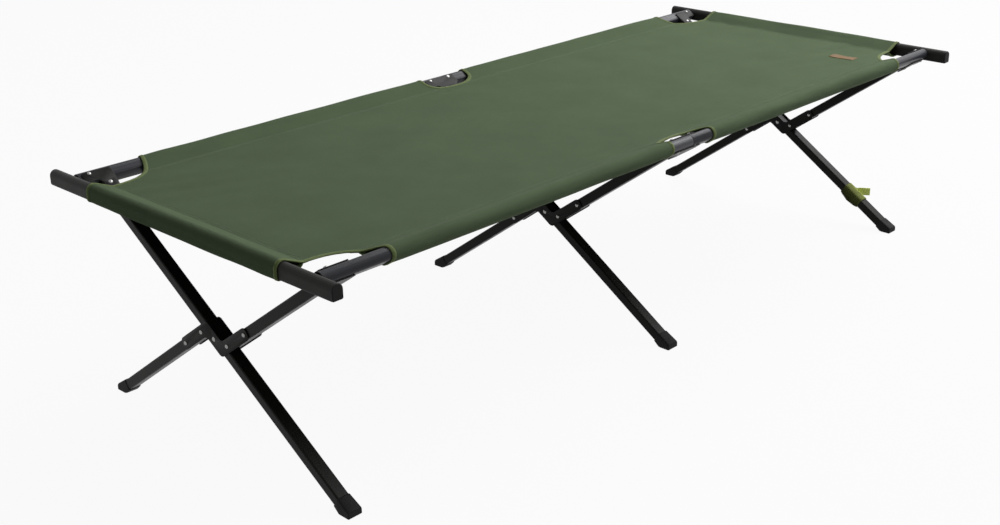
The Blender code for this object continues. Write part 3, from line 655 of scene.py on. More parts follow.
def canvas_material(colour):
    """Plain-woven polyester canvas, faintly mottled, with a little sheen."""
    made = Nodes("olive_canvas_weave", colour, 0.82)
    made.set(made.shader, Sheen_Weight=0.02, Sheen_Roughness=0.5, Specular_IOR_Level=0.06)
    flat = cloth_coordinates(made)
    threads = made.math("MULTIPLY", made.wave("X", 330.0, flat), made.wave("Y", 330.0, flat))
    mottle = made.noise(7.0, 4.0, 0.6, flat)
    heather = made.noise(900.0, 2.0, 0.6, flat)
    streaks = made.noise(1.0, 3.0, 0.6, made.stretched((25.0, 700.0, 1.0), flat))
    base = made.tint(colour, mottle, 0.93, 1.07)
    base = made.mixed(0.5, base, made.tint(WHITE, heather, 0.80, 1.0), "MULTIPLY")
    base = made.mixed(0.35, base, made.tint(WHITE, streaks, 0.86, 1.0), "MULTIPLY")
    made.colour(base)
    made.rough(made.range(heather, 0.74, 0.90))
    low = made.bump(made.noise(14.0, 3.0, 0.5, flat), 0.0016, 0.35)
    made.bump(threads, 0.00035, 0.5, low)
    return made.material


def tape_material(colour):
    """Woven tape with ribs across it."""
    made = Nodes("lime_binding_tape", colour, 0.78)
    made.set(made.shader, Sheen_Weight=0.05, Sheen_Roughness=0.4, Specular_IOR_Level=0.2)
    flat = cloth_coordinates(made)
    grain = made.noise(700.0, 2.0, 0.6, flat)
    made.colour(made.tint(colour, grain, 0.78, 1.18))
    made.rough(made.range(grain, 0.70, 0.88))
    made.bump(made.wave("X", 200.0, flat), 0.0003, 0.6)
    return made.material


def webbing_material(colour):
    """Ribbed webbing, with painted shade that darkens it underneath the leg, and full colour at its tail."""
    made = Nodes("lime_webbing_weave", colour, 0.8)
    made.set(made.shader, Sheen_Weight=0.03, Sheen_Roughness=0.4, Specular_IOR_Level=0.12)
    flat = cloth_coordinates(made)
    parts = made.add("SeparateXYZ")
    made.join(flat, parts, "Vector")
    # painted shade: a ramp along the strap darkens the webbing underneath the leg, and noise wobbles its edge
    wander = made.math("MULTIPLY", made.noise(60.0, 2.0, 0.5, flat), 0.012)
    along = made.math("ADD", parts.outputs[0], wander)
    painted_shade_stops = [
        (place, (*[channel * share for channel in colour], 1.0)) for place, share in STRAP_PAINTED_SHADE
    ]
    base = made.ramp(made.math("DIVIDE", along, PAINTED_SHADE_LENGTH), painted_shade_stops)
    grain = made.noise(900.0, 2.0, 0.6, flat)
    made.colour(made.mixed(0.6, base, made.tint(WHITE, grain, 0.72, 1.0), "MULTIPLY"))
    made.rough(made.range(grain, 0.70, 0.88))
    made.bump(made.wave("X", 160.0, flat), 0.0003, 0.6)
    return made.material


def thread_material(name, colour):
    """Twisted sewing thread."""
    made = Nodes(name, colour, 0.6)
    grain = made.noise(1500.0, 2.0)
    made.colour(made.tint(colour, grain, 0.75, 1.2))
    made.bump(grain, 0.0001, 0.5)
    return made.material


def enamel_material(name, colour, roughness, shine):
    """Satin stove enamel: faint orange peel, dust-fine scuffs and uneven gloss."""
    made = Nodes(name, colour, roughness)
    made.set(made.shader, Specular_IOR_Level=shine)
    peel = made.noise(420.0, 2.0, 0.5)
    cloud = made.noise(9.0, 5.0, 0.65)
    scuffs = made.noise(1.0, 6.0, 0.7, made.stretched((40.0, 260.0, 260.0)))
    base = made.tint(colour, cloud, 0.86, 1.16)
    scuffed = made.range(scuffs, 0.0, 0.55, 0.62, 0.80)
    worn = tuple(min(channel * 1.6 + 0.004, 1.0) for channel in colour) + (1.0,)
    made.colour(made.mixed(scuffed, base, worn))
    made.rough(made.range(cloud, roughness - 0.06, roughness + 0.09))
    made.bump(peel, 0.00012, 0.35)
    return made.material


def steel_material(colour):
    """Bright zinc-plated steel with fine turning marks."""
    made = Nodes("rivet_steel_plated", colour, 0.24, 1.0)
    cloud = made.noise(260.0, 3.0, 0.6)
    made.colour(made.tint(colour, cloud, 0.80, 1.08))
    made.rough(made.range(cloud, 0.16, 0.36))
    made.bump(made.noise(1800.0, 2.0), 0.00005, 0.4)
    return made.material


def moulded_material(name, colour, roughness, grain):
    """Moulded plastic or rubber with a fine grain."""
    made = Nodes(name, colour, roughness)
    made.set(made.shader, Specular_IOR_Level=0.12)
    pits = made.noise(grain, 3.0, 0.6)
    cloud = made.noise(24.0, 4.0, 0.6)
    made.colour(made.tint(colour, cloud, 0.8, 1.35))
    made.rough(made.range(cloud, roughness - 0.08, roughness + 0.08))
    made.bump(pits, 0.00025, 0.4)
    return made.material


def leather_material(colour):
    """Grained leather-like patch, slightly rubbed."""
    made = Nodes("brown_patch_grain", colour, 0.55)
    made.set(made.shader, Specular_IOR_Level=0.2)
    cells = made.add("TexVoronoi", Scale=900.0)
    made.join(made.place, cells, "Vector")
    cloud = made.noise(60.0, 4.0, 0.6)
    made.colour(made.tint(colour, cloud, 0.82, 1.22))
    made.rough(made.range(cloud, 0.45, 0.66))
    made.bump(cells.outputs[0], 0.0002, 0.5)
    return made.material


class COT_OT_stage(bpy.types.Operator):
    """Makes the pale floor, the soft lights and the camera."""
    bl_idname = "cot.stage"
    bl_label = "Stage"

    def execute(self, context):
        """Builds the stage round the cot."""
        corners = [(-FLOOR_HALF, -FLOOR_HALF, 0), (FLOOR_HALF, -FLOOR_HALF, 0)]
        corners += [(FLOOR_HALF, FLOOR_HALF, 0), (-FLOOR_HALF, FLOOR_HALF, 0)]
        floor = new_piece("floor", corners, [(0, 1, 2, 3)], floor_material())
        make_world()
        area_light("key_softbox", (3.0, -0.5, 3.5), target=(0.0, 0.0, 0.4), size=(4.4, 3.8), power=268.0)
        area_light("fill_softbox", (-0.4, -3.2, 2.1), target=(0.0, 0.0, 0.3), size=(1.8, 1.8), power=10.0)
        make_camera()
        return {"FINISHED"}


def white_rays(tree):
    """1 for what should see white, the camera and reflections, and 0 for what lights the cot."""
    path = tree.nodes.new("ShaderNodeLightPath")
    white = path.outputs["Is Camera Ray"]
    for ray in ("Is Glossy Ray", "Is Transmission Ray"):
        either = tree.nodes.new("ShaderNodeMath")
        either.operation = "MAXIMUM"
        tree.links.new(white, either.inputs[0])
        tree.links.new(path.outputs[ray], either.inputs[1])
        white = either.outputs[0]
    return white


def floor_material():
    """A pale floor that shows near white to the camera and in reflections, and keeps soft shadows."""
    material = bpy.data.materials.new("pale_floor")
    material.use_nodes = True
    tree = material.node_tree
    tree.nodes.clear()
    diffuse = tree.nodes.new("ShaderNodeBsdfDiffuse")
    diffuse.inputs["Color"].default_value = (FLOOR_GREY, FLOOR_GREY, FLOOR_GREY, 1.0)
    glow = tree.nodes.new("ShaderNodeEmission")
    glow.inputs["Color"].default_value = (*WHITE, 1.0)
    share = tree.nodes.new("ShaderNodeMath")
    share.operation = "MULTIPLY"
    share.inputs[1].default_value = FLOOR_WHITE
    mix = tree.nodes.new("ShaderNodeMixShader")
    output = tree.nodes.new("ShaderNodeOutputMaterial")
    link = tree.links.new
    link(white_rays(tree), share.inputs[0])
    link(share.outputs[0], mix.inputs[0])
    link(diffuse.outputs[0], mix.inputs[1])
    link(glow.outputs[0], mix.inputs[2])
    link(mix.outputs[0], output.inputs[0])
    return material


def make_world():
    """A dim even sky for the light, shown as white to the camera and in reflections."""
    world = bpy.data.worlds.new("studio")
    bpy.context.scene.world = world
    world.use_nodes = True
    tree = world.node_tree
    sky = tree.nodes["Background"]
    sky.inputs["Color"].default_value = (*WHITE, 1.0)
    strength = tree.nodes.new("ShaderNodeMapRange")
    strength.inputs["To Min"].default_value = SKY_LIGHT
    strength.inputs["To Max"].default_value = 1.0
    tree.links.new(white_rays(tree), strength.inputs["Value"])
    tree.links.new(strength.outputs[0], sky.inputs["Strength"])
    bpy.context.scene.view_settings.view_transform = "Standard"


def area_light(name, place, target, size, power):
    """A softbox of this width and height, aimed at a point."""
    lamp = bpy.data.lights.new(name, "AREA")
    lamp.shape = "RECTANGLE"
    lamp.energy = power
    lamp.size, lamp.size_y = size
    light = bpy.data.objects.new(name, lamp)
    light.location = place
    light.rotation_euler = (Vector(target) - Vector(place)).to_track_quat("-Z", "Y").to_euler()
    bpy.context.scene.collection.objects.link(light)


def make_camera():
    """The camera at the photograph's viewing angle."""
    heading, tilt, roll = (math.radians(angle) for angle in CAMERA_ANGLES)
    look = Vector((math.cos(tilt) * math.cos(heading), math.cos(tilt) * math.sin(heading), -math.sin(tilt)))
    level = look.cross(UP).normalized()
    upright = level.cross(look)
    right = level * math.cos(roll) + upright * math.sin(roll)
    top = upright * math.cos(roll) - level * math.sin(roll)
    data = bpy.data.cameras.new("camera")
    data.sensor_fit = "HORIZONTAL"
    data.sensor_width = 36.0
    data.lens = CAMERA_LENS
    data.clip_end = 200.0
    camera = bpy.data.objects.new("camera", data)
    camera.matrix_world = frame_at(CAMERA_PLACE, right, top)
    bpy.context.scene.collection.objects.link(camera)
    bpy.context.scene.camera = camera


class COT_OT_finishes(bpy.types.Operator):
    """Gives the frame's solid pieces their enamel, steel, plastic and rubber."""
    bl_idname = "cot.finishes"
    bl_label = "Finishes"

    def execute(self, context):
        """Assigns a finish to every solid piece by its slot in the record."""
        colours = context.scene.cot_colours
        enamel = tuple(colours.enamel)
        finishes = {
            "rail_enamel": enamel_material("rail_enamel_satin", tuple(colours.rails), 0.34, shine=0.19),
            "leg_enamel": enamel_material("leg_enamel_satin", enamel, 0.34, shine=0.075),
            "plate_enamel": enamel_material("plate_enamel_satin", enamel, 0.36, shine=0.075),
            "rivet_steel": steel_material(tuple(colours.steel)),
            "cap_plastic": moulded_material("cap_plastic_moulded", tuple(colours.plastic), 0.50, grain=900.0),
            "boot_rubber": moulded_material("boot_rubber_moulded", tuple(colours.rubber), 0.62, grain=600.0),
        }
        lighter = tuple(channel * 1.35 for channel in enamel)
        bar_finish = enamel_material("bar_enamel_matt", lighter, 0.52, shine=0.15)
        for entry in frame["record"]["subparts"]:
            name = entry["node"]
            finish = bar_finish if name.endswith("end_bar") else finishes.get(entry["material_slot"])
            if finish:
                materials = frame["nodes"][name].data.materials
                materials.clear()
                materials.append(finish)
        return {"FINISHED"}


def canvas_rows(sizes):
    """The cloth's lines along the cot, from the right hem over both rails to the left hem."""
    web = [END_SLEEVE_HALF * step / WEB_STEPS for step in range(1, WEB_STEPS)] + MARGIN_ROWS
    right, left = (
        [(turn * y, RAIL_Z, True) for y in web]
        + [(turn * point.x, point.y, False) for point in rail_pocket(turn, sizes)]
        for turn in (-1, 1)
    )
    return right[::-1] + [(0.0, RAIL_Z, True)] + left


def canvas_columns(row, sleeve):
    """One row's points for x above 0: from the side cut or the middle to the cloth's end."""
    y, z, web = row
    start, end = side_start(y), cut_end(y)
    points = [(start + (end - start) * step / COLUMNS, y, z, web) for step in range(COLUMNS + 1)]
    if abs(y) <= END_SLEEVE_HALF and web:
        points += [(point.x, y, point.y, False) for point in sleeve[1:]]
    return points


def line_lengths(points):
    """Distances along a line of points."""
    lengths = [0.0]
    for a, b in zip(points, points[1:]):
        lengths.append(lengths[-1] + (b - a).length)
    return lengths


def sleeve_ripple(place):
    """How far a sleeve's cloth stands out from its bar: slight waves, none at its seam and its mouths."""
    x, y = place.x, place.y
    if abs(y) > SEAM_Y + SEAM_CALM:
        out = Vector((0, y - math.copysign(RAIL_Y, y), place.z - RAIL_Z)).normalized()
        room = min(cut_end(y) - abs(x), abs(x) - side_start(y))
        wave = noise.noise(Vector((x * 9.0, out.z * 1.6, math.copysign(4.0, y))))
        start = smooth_step(abs(y) - SEAM_Y, SEAM_CALM, SEAM_WAVY)
    elif abs(x) > SEAM_X + SEAM_CALM:
        out = Vector((x - math.copysign(BAR_X, x), 0, place.z - RAIL_Z)).normalized()
        room = END_SLEEVE_HALF - abs(y)
        wave = noise.noise(Vector((y * 9.0, out.z * 1.6, math.copysign(9.0, x))))
        start = smooth_step(abs(x) - SEAM_X, SEAM_CALM, SEAM_WAVY)
    else:
        return Vector((0, 0, 0))
    return out * (SLEEVE_SWELL + SLEEVE_WAVE * wave) * smooth_step(room, MOUTH_CALM, MOUTH_WAVY) * start


class COT_OT_canvas(bpy.types.Operator):
    """Makes the canvas deck: one cloth with a sleeve on each side and end."""
    bl_idname = "cot.canvas"
    bl_label = "Canvas deck"

    def execute(self, context):
        """Makes the cloth and lets its sleeves ripple."""
        sizes = context.scene.cot_sizes
        vertices, faces, places, width = self.cut(sizes)
        canvas = canvas_material(tuple(context.scene.cot_colours.canvas))
        cloth = new_piece("canvas_deck", vertices, faces, canvas, "olive_canvas", places)
        for vertex in cloth.data.vertices:
            vertex.co += sleeve_ripple(vertex.co)
        thicken(cloth, sizes.canvas_thickness)
        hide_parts("deck")
        bend_with_canvas(cloth)
        return {"FINISHED"}

    def cut(self, sizes):
        """The cloth's vertices, faces and flat coordinates, in two halves, and its flat width."""
        rows = canvas_rows(sizes)
        sleeve = bar_pocket(sizes)
        across = line_lengths([Vector((0, y, z)) for y, z, _ in rows])
        middle = across[len(across) // 2]
        vertices, faces, places = [], [], []
        for sign in (-1, 1):
            starts = []
            for row, width in zip(rows, across):
                starts.append(len(vertices))
                points = canvas_columns(row, sleeve)
                beyond = 0.0
                for step, (x, y, z, web) in enumerate(points):
                    lift = web_lift(sign * x, y, sizes.canvas_sag) if web else 0.0
                    vertices.append((sign * x, y, z + lift))
                    if step > COLUMNS:
                        beyond += math.hypot(x - points[step - 1][0], z - points[step - 1][2])
                    reach = points[COLUMNS][0] + beyond if step > COLUMNS else x
                    places.append((sign * reach, width - middle))
            for row in range(len(rows) - 1):
                pair = rows[row:row + 2]
                ends = all(abs(y) <= END_SLEEVE_HALF and web for y, _, web in pair)
                for step in range(COLUMNS + (len(sleeve) - 1 if ends else 0)):
                    a, b = starts[row] + step, starts[row + 1] + step
                    faces.append((a, a + 1, b + 1, b))
        return vertices, faces, places, across[-1]


def mouth(line):
    """A sleeve's line without its hem, as (point, outward normal) pairs."""
    return [(point, side_normal(line, index)) for index, point in enumerate(line[:-HEM_POINTS])]


def corner_edge(sign, turn, sizes):
    """A corner's cut edge as (place, outward normal) pairs, from under the end bar to under the rail."""
    line = []
    for point, flat in reversed(mouth(bar_pocket(sizes))):
        place = Vector((sign * point.x, turn * END_SLEEVE_HALF, point.y))
        line.append((place, Vector((sign * flat.x, 0, flat.y))))
    for step in range(1, CORNER_STEPS):
        y = END_SLEEVE_HALF + (SEAM_Y - END_SLEEVE_HALF) * step / CORNER_STEPS
        x = sign * cut_end(y)
        line.append((Vector((x, turn * y, RAIL_Z + web_lift(x, y, sizes.canvas_sag))), UP.copy()))
    for point, flat in mouth(rail_pocket(turn, sizes)):
        place = Vector((sign * cut_end(point.x), turn * point.x, point.y))
        line.append((place, Vector((0, turn * flat.x, flat.y))))
    return line


def side_edge(turn, sizes):
    """A side cut's edge as (place, outward normal) pairs, from under the rail over the web and back."""
    half = []
    for point, flat in reversed(mouth(rail_pocket(turn, sizes))):
        place = Vector((side_start(point.x), turn * point.x, point.y))
        half.append((place, Vector((0, turn * flat.x, flat.y))))
    for step in range(SIDE_STEPS + 1):
        share = math.sin(math.pi / 2 * step / SIDE_STEPS) ** (2 / SIDE_CUT_POWER)
        y = SIDE_CUT_SQUARE - (SIDE_CUT_SQUARE - SIDE_CUT_START) * share
        if y < SEAM_Y - SEAM_CLEAR:
            x = side_start(y)
            half.append((Vector((x, turn * y, RAIL_Z + web_lift(x, y, sizes.canvas_sag))), UP.copy()))
    mirrored = [(Vector((-place.x, place.y, place.z)), normal.copy()) for place, normal in half[-2::-1]]
    return half + mirrored


def side_normal(line, index):
    """The outward normal of a sleeve's line at one of its points."""
    before = line[max(index - 1, 0)]
    after = line[min(index + 1, len(line) - 1)]
    along = (after - before).normalized()
    return Vector((-along.y, along.x))


def evened(line, step):
    """A line of (place, normal) pairs with its places spread evenly."""
    lengths = line_lengths([place for place, _ in line])
    count = max(2, round(lengths[-1] / step))
    result = []
    index = 0
    for number in range(count + 1):
        target = lengths[-1] * number / count
        while index < len(lengths) - 2 and lengths[index + 1] < target:
            index += 1
        span = lengths[index + 1] - lengths[index]
        share = (target - lengths[index]) / span if span > 0 else 0.0
        place = line[index][0].lerp(line[index + 1][0], share)
        normal = line[index][1].lerp(line[index + 1][1], share).normalized()
        result.append((place, normal))
    return result


def smoothed(directions, passes=3):
    """Directions along a line, each averaged with its neighbours, so that they turn evenly."""
    for _ in range(passes):
        spread = [directions[0], *directions, directions[-1]]
        directions = [
            (spread[index] + spread[index + 1] * 2 + spread[index + 2]).normalized()
            for index in range(len(directions))
        ]
    return directions


def edge_axes(line):
    """An edge line spread evenly: each point's place, direction, outward normal and way into the cloth."""
    line = evened(line, EDGE_STEP)
    places = [place for place, _ in line]
    normals = smoothed([normal for _, normal in line])
    ways = smoothed([
        (places[min(index + 1, len(places) - 1)] - places[max(index - 1, 0)]).normalized()
        for index in range(len(places))
    ])
    axes = [
        (place, along, normal, normal.cross(along).normalized())
        for place, along, normal in zip(places, ways, normals)
    ]
    middle = axes[len(axes) // 2]
    if middle[3].dot(Vector((0, -middle[0].y, 0))) < 0:
        axes = [(place, along, normal, -inward) for place, along, normal, inward in axes]
    return axes


def edge_lines(sizes):
    """The six cut edges by name."""
    lines = {}
    for end, sign in ENDS:
        for side, turn in SIDES:
            lines[f"{end}_{side}"] = edge_axes(corner_edge(sign, turn, sizes))
    for side, turn in SIDES:
        lines[f"middle_{side}"] = edge_axes(side_edge(turn, sizes))
    return lines


def laid_on_web(point, out, sag):
    """A point of the trim, at its height over the web where it lies past the seams."""
    if abs(point.x) < SEAM_X and abs(point.y) < SEAM_Y:
        height = RAIL_Z + web_lift(point.x, point.y, sag)
        if point.z > height - TRIM_REACH:
            point.z = height + out
    return point


class COT_OT_binding(bpy.types.Operator):
    """Makes the tape folded over the canvas's cut edges."""
    bl_idname = "cot.binding"
    bl_label = "Edge binding"

    def execute(self, context):
        """Sweeps a folded tape along each cut edge."""
        sizes = context.scene.cot_sizes
        tape = tape_material(tuple(context.scene.cot_colours.binding))
        width = sizes.binding_width
        cloth = sizes.canvas_thickness / 2 + TAPE_GAP
        fold = cloth + TAPE_THICKNESS
        section = [
            (width, cloth), (width - TAPE_THICKNESS, fold), (width * 0.5, fold + TAPE_CROWN), (0.0, fold),
            (-TAPE_SHOULDER, cloth * 0.8), (-TAPE_NOSE, 0.0), (-TAPE_SHOULDER, -cloth * 0.8),
            (0.0, -fold), (width * 0.5, -fold), (width - TAPE_THICKNESS, -fold), (width, -cloth),
        ]
        for name, axes in edge_lines(sizes).items():
            vertices, faces, places, rings = [], [], [], []
            lengths = line_lengths([place for place, _, _, _ in axes])
            for (place, _, normal, inward), length in zip(axes, lengths):
                rings.append([
                    laid_on_web(place + inward * into + normal * out, out, sizes.canvas_sag)
                    for into, out in section
                ])
                places += [(length, index * TAPE_STEP) for index in range(len(section))]
            join_rings(vertices, faces, rings)
            piece = new_piece(f"{name}_binding", vertices, faces, tape, "lime_webbing", places)
            bend_with_canvas(piece)
        return {"FINISHED"}


def stitch(vertices, faces, place, along, normal, length, width=0.0007, height=0.00035):
    """Adds one stitch: a short rounded bead of thread."""
    side = normal.cross(along).normalized()
    turns = [2 * math.pi * number / STITCH_SIDES for number in range(STITCH_SIDES)]
    join_rings(vertices, faces, [
        [
            place + along * length * share + side * math.cos(turn) * width / 2 * swell
            + normal * math.sin(turn) * height * swell
            for turn in turns
        ]
        for share, swell in STITCH_SHAPE
    ])


class COT_OT_stitching(bpy.types.Operator):
    """Sews the canvas: rows of stitches along the seams and the binding."""
    bl_idname = "cot.stitching"
    bl_label = "Stitching"

    def execute(self, context):
        """Makes the seam stitches and the binding stitches."""
        sizes = context.scene.cot_sizes
        colours = context.scene.cot_colours
        pitch = sizes.stitch_length * STITCH_PITCH
        vertices, faces = [], []
        for turn in (-1, 1):
            for y in (SEAM_Y - row for row in SEAM_ROWS):
                for x in self.row(pitch, cut_end(y)):
                    self.sew(vertices, faces, sizes, x, turn * y, ALONG)
        for sign in (-1, 1):
            for x in (SEAM_X - row for row in SEAM_ROWS):
                for y in self.row(pitch, END_SLEEVE_HALF):
                    self.sew(vertices, faces, sizes, sign * x, y, ACROSS)
        self.finish("seam", vertices, faces, colours.canvas, "olive_canvas")
        vertices, faces = [], []
        out = sizes.canvas_thickness / 2 + BINDING_TOP
        for axes in edge_lines(sizes).values():
            lengths = line_lengths([place for place, _, _, _ in axes])
            target = pitch
            for (place, along, normal, inward), length in zip(axes[1:-1], lengths[1:-1]):
                if length >= target:
                    target = length + pitch * BINDING_PITCH
                    seat = place + inward * sizes.binding_width * BINDING_ROW + normal * out
                    seat = laid_on_web(seat, out, sizes.canvas_sag)
                    stitch(vertices, faces, seat, along, normal, sizes.stitch_length)
        self.finish("binding", vertices, faces, colours.binding, "lime_webbing")
        return {"FINISHED"}

    def row(self, pitch, reach):
        """The places of one row's stitches, evenly to both sides of its middle."""
        count = int((reach - STITCH_MARGIN) / pitch)
        return [step * pitch for step in range(-count, count + 1)]

    def sew(self, vertices, faces, sizes, x, y, along):
        """Adds one stitch on the web."""
        place = Vector((x, y, web_top(x, y, sizes) + STITCH_RISE))
        stitch(vertices, faces, place, along, UP, sizes.stitch_length)

    def finish(self, name, vertices, faces, colour, slot):
        """Makes one piece of the stitches, in thread a little lighter than what it sews."""
        thread = thread_material(f"{name}_thread", tuple(channel * THREAD_SHADE for channel in colour))
        bend_with_canvas(new_piece(f"{name}_stitches", vertices, faces, thread, slot))


class COT_OT_label(bpy.types.Operator):
    """Makes the bare leather-like patch and its stitched border."""
    bl_idname = "cot.label"
    bl_label = "Label patch"

    def execute(self, context):
        """Lays the patch on the canvas and sews its border, following the surface."""
        sizes, colours = context.scene.cot_sizes, context.scene.cot_colours
        low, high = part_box("label_patch")
        centre = Vector(((low[0] + high[0]) / 2, (low[1] + high[1]) / 2, 0))
        half_x, half_y = (high[0] - low[0]) / 2, (high[1] - low[1]) / 2
        leather = leather_material(tuple(colours.label))
        patch = new_piece("label_leather", *self.patch(sizes, centre, half_x, half_y), leather, "brown_patch")
        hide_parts("label_patch")
        bend_with_canvas(patch)
        half_x, half_y = half_x - LABEL_BORDER, half_y - LABEL_BORDER
        corners = [(-half_x, -half_y), (half_x, -half_y), (half_x, half_y), (-half_x, half_y)]
        vertices, faces = [], []
        for (x0, y0), (x1, y1) in zip(corners, corners[1:] + corners[:1]):
            along = Vector((x1 - x0, y1 - y0, 0))
            count = round(along.length / LABEL_PITCH)
            for step in range(count):
                share = (step + 0.5) / count
                x = centre.x + x0 + (x1 - x0) * share
                y = centre.y + y0 + (y1 - y0) * share
                place = Vector((x, y, web_top(x, y, sizes) + LABEL_STITCH_TOP))
                stitch(vertices, faces, place, along.normalized(), UP, **LABEL_STITCH)
        thread = thread_material("label_thread", tuple(colours.label_thread))
        bend_with_canvas(new_piece("label_stitches", vertices, faces, thread, "brown_patch"))
        return {"FINISHED"}

    def patch(self, sizes, centre, half_x, half_y):
        """The patch's vertices and faces: its underside, its top with pressed edges, and its rim."""
        steps_x, steps_y = LABEL_STEPS
        row_size = steps_x + 1
        vertices, faces = [], []
        for layer in (0, 1):
            for row in range(steps_y + 1):
                for step in range(row_size):
                    across = 2 * step / steps_x - 1
                    along = 2 * row / steps_y - 1
                    corner = max(abs(across), abs(along)) ** 12 * (abs(across) * abs(along)) ** 6
                    pull = 1 - LABEL_CORNER_PULL * corner
                    x = centre.x + half_x * across * pull
                    y = centre.y + half_y * along * pull
                    edge = max(abs(across) ** 10, abs(along) ** 18)
                    rise = LABEL_LOW if layer == 0 else LABEL_HIGH - LABEL_EDGE_DROP * edge
                    vertices.append((x, y, web_top(x, y, sizes) + rise))
        size = row_size * (steps_y + 1)
        for row in range(steps_y):
            for step in range(steps_x):
                a = row * row_size + step
                b = a + row_size
                faces.append((a, b, b + 1, a + 1))
                faces.append((size + a, size + a + 1, size + b + 1, size + b))
        rim = list(range(row_size))
        rim += [row * row_size + steps_x for row in range(1, steps_y + 1)]
        rim += [steps_y * row_size + step for step in range(steps_x - 1, -1, -1)]
        rim += [row * row_size for row in range(steps_y - 1, 0, -1)]
        for a, b in zip(rim, rim[1:] + rim[:1]):
            faces.append((a, b, size + b, size + a))
        return vertices, faces


def dome(vertices, faces, place, axis, radius, rise, steps=5, sides=20, sunk=0.2, lip=0.08):
    """Adds one domed rivet head standing on a face, its foot sunk in and its lip upright."""
    axis = axis.normalized()
    first = axis.orthogonal().normalized()
    second = axis.cross(first)
    profile = [(1.0, -sunk), (1.0, lip)]
    for step in range(1, steps):
        angle = math.pi / 2 * step / steps
        profile.append((math.cos(angle), lip + (1 - lip) * math.sin(angle)))
    angles = [2 * math.pi * side / sides for side in range(sides)]
    outwards = [first * math.cos(angle) + second * math.sin(angle) for angle in angles]
    join_rings(vertices, faces, [
        [place + outward * radius * width + axis * rise * height for outward in outwards]
        for width, height in profile
    ])


def dome_pair(vertices, faces, seat, axis, face, radius, rise):
    """Adds a rivet head on each of two faces, this far from the seat to both sides."""
    for out in (-1, 1):
        dome(vertices, faces, seat + axis * face * out, axis * out, radius, rise)


class COT_OT_rivets(bpy.types.Operator):
    """Makes the bright heads of the rivets that are one solid with a plate or a bracket."""
    bl_idname = "cot.rivets"
    bl_label = "Rivet heads"

    def execute(self, context):
        """Seats a head on each face of the cranked plates and of the brackets."""
        radius = context.scene.cot_sizes.rivet_radius
        steel = frame["nodes"]["near_pivot_rivet"].data.materials[0]
        crank_side = ALONG.cross(RIGHT_UP)
        crossing = math.pi - SPLIT_TILT - LEG_TILT
        inner_clear = LEG_HEIGHT / 2 + RIVET_SHANK + PLATE_RIVET_MARGIN
        inner = (inner_clear - CRANK * math.cos(crossing)) / math.sin(crossing)
        outer = inner + PLATE_RIVET_SPACING
        plate_face = LEG_DEPTH / 2 + TOUCH_GAP + PLATE_THICKNESS
        for station, x in STATIONS.items():
            vertices, faces = [], []
            for reach in (inner, outer):
                for way in (-1, 1):
                    seat = Vector((x, PIVOT.y, PIVOT.z)) + RIGHT_UP * reach * way + crank_side * CRANK * way
                    dome_pair(vertices, faces, seat, ALONG, plate_face, radius, PLATE_HEAD_RISE)
            heads = new_piece(f"{station}_clamp_rivet_heads", vertices, faces, steel, "rivet_steel")
            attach(heads, "right_frame")
        cheek_face = RAIL_WIDTH / 2 + TOUCH_GAP + CHEEK_THICKNESS
        for (side, turn), up in zip(SIDES, (LEFT_UP, RIGHT_UP)):
            vertices, faces = [], []
            for station, x in STATIONS.items():
                seat = Vector((x + TIE_RIVET_WAYS[station] * TIE_RIVET_REACH, turn * RAIL_Y, RAIL_Z))
                dome_pair(vertices, faces, seat, up.cross(ALONG), cheek_face, radius, BRACKET_HEAD_RISE)
            heads = new_piece(f"{side}_bracket_rivet_heads", vertices, faces, steel, "rivet_steel")
            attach(heads, f"{side}_frame")
        return {"FINISHED"}


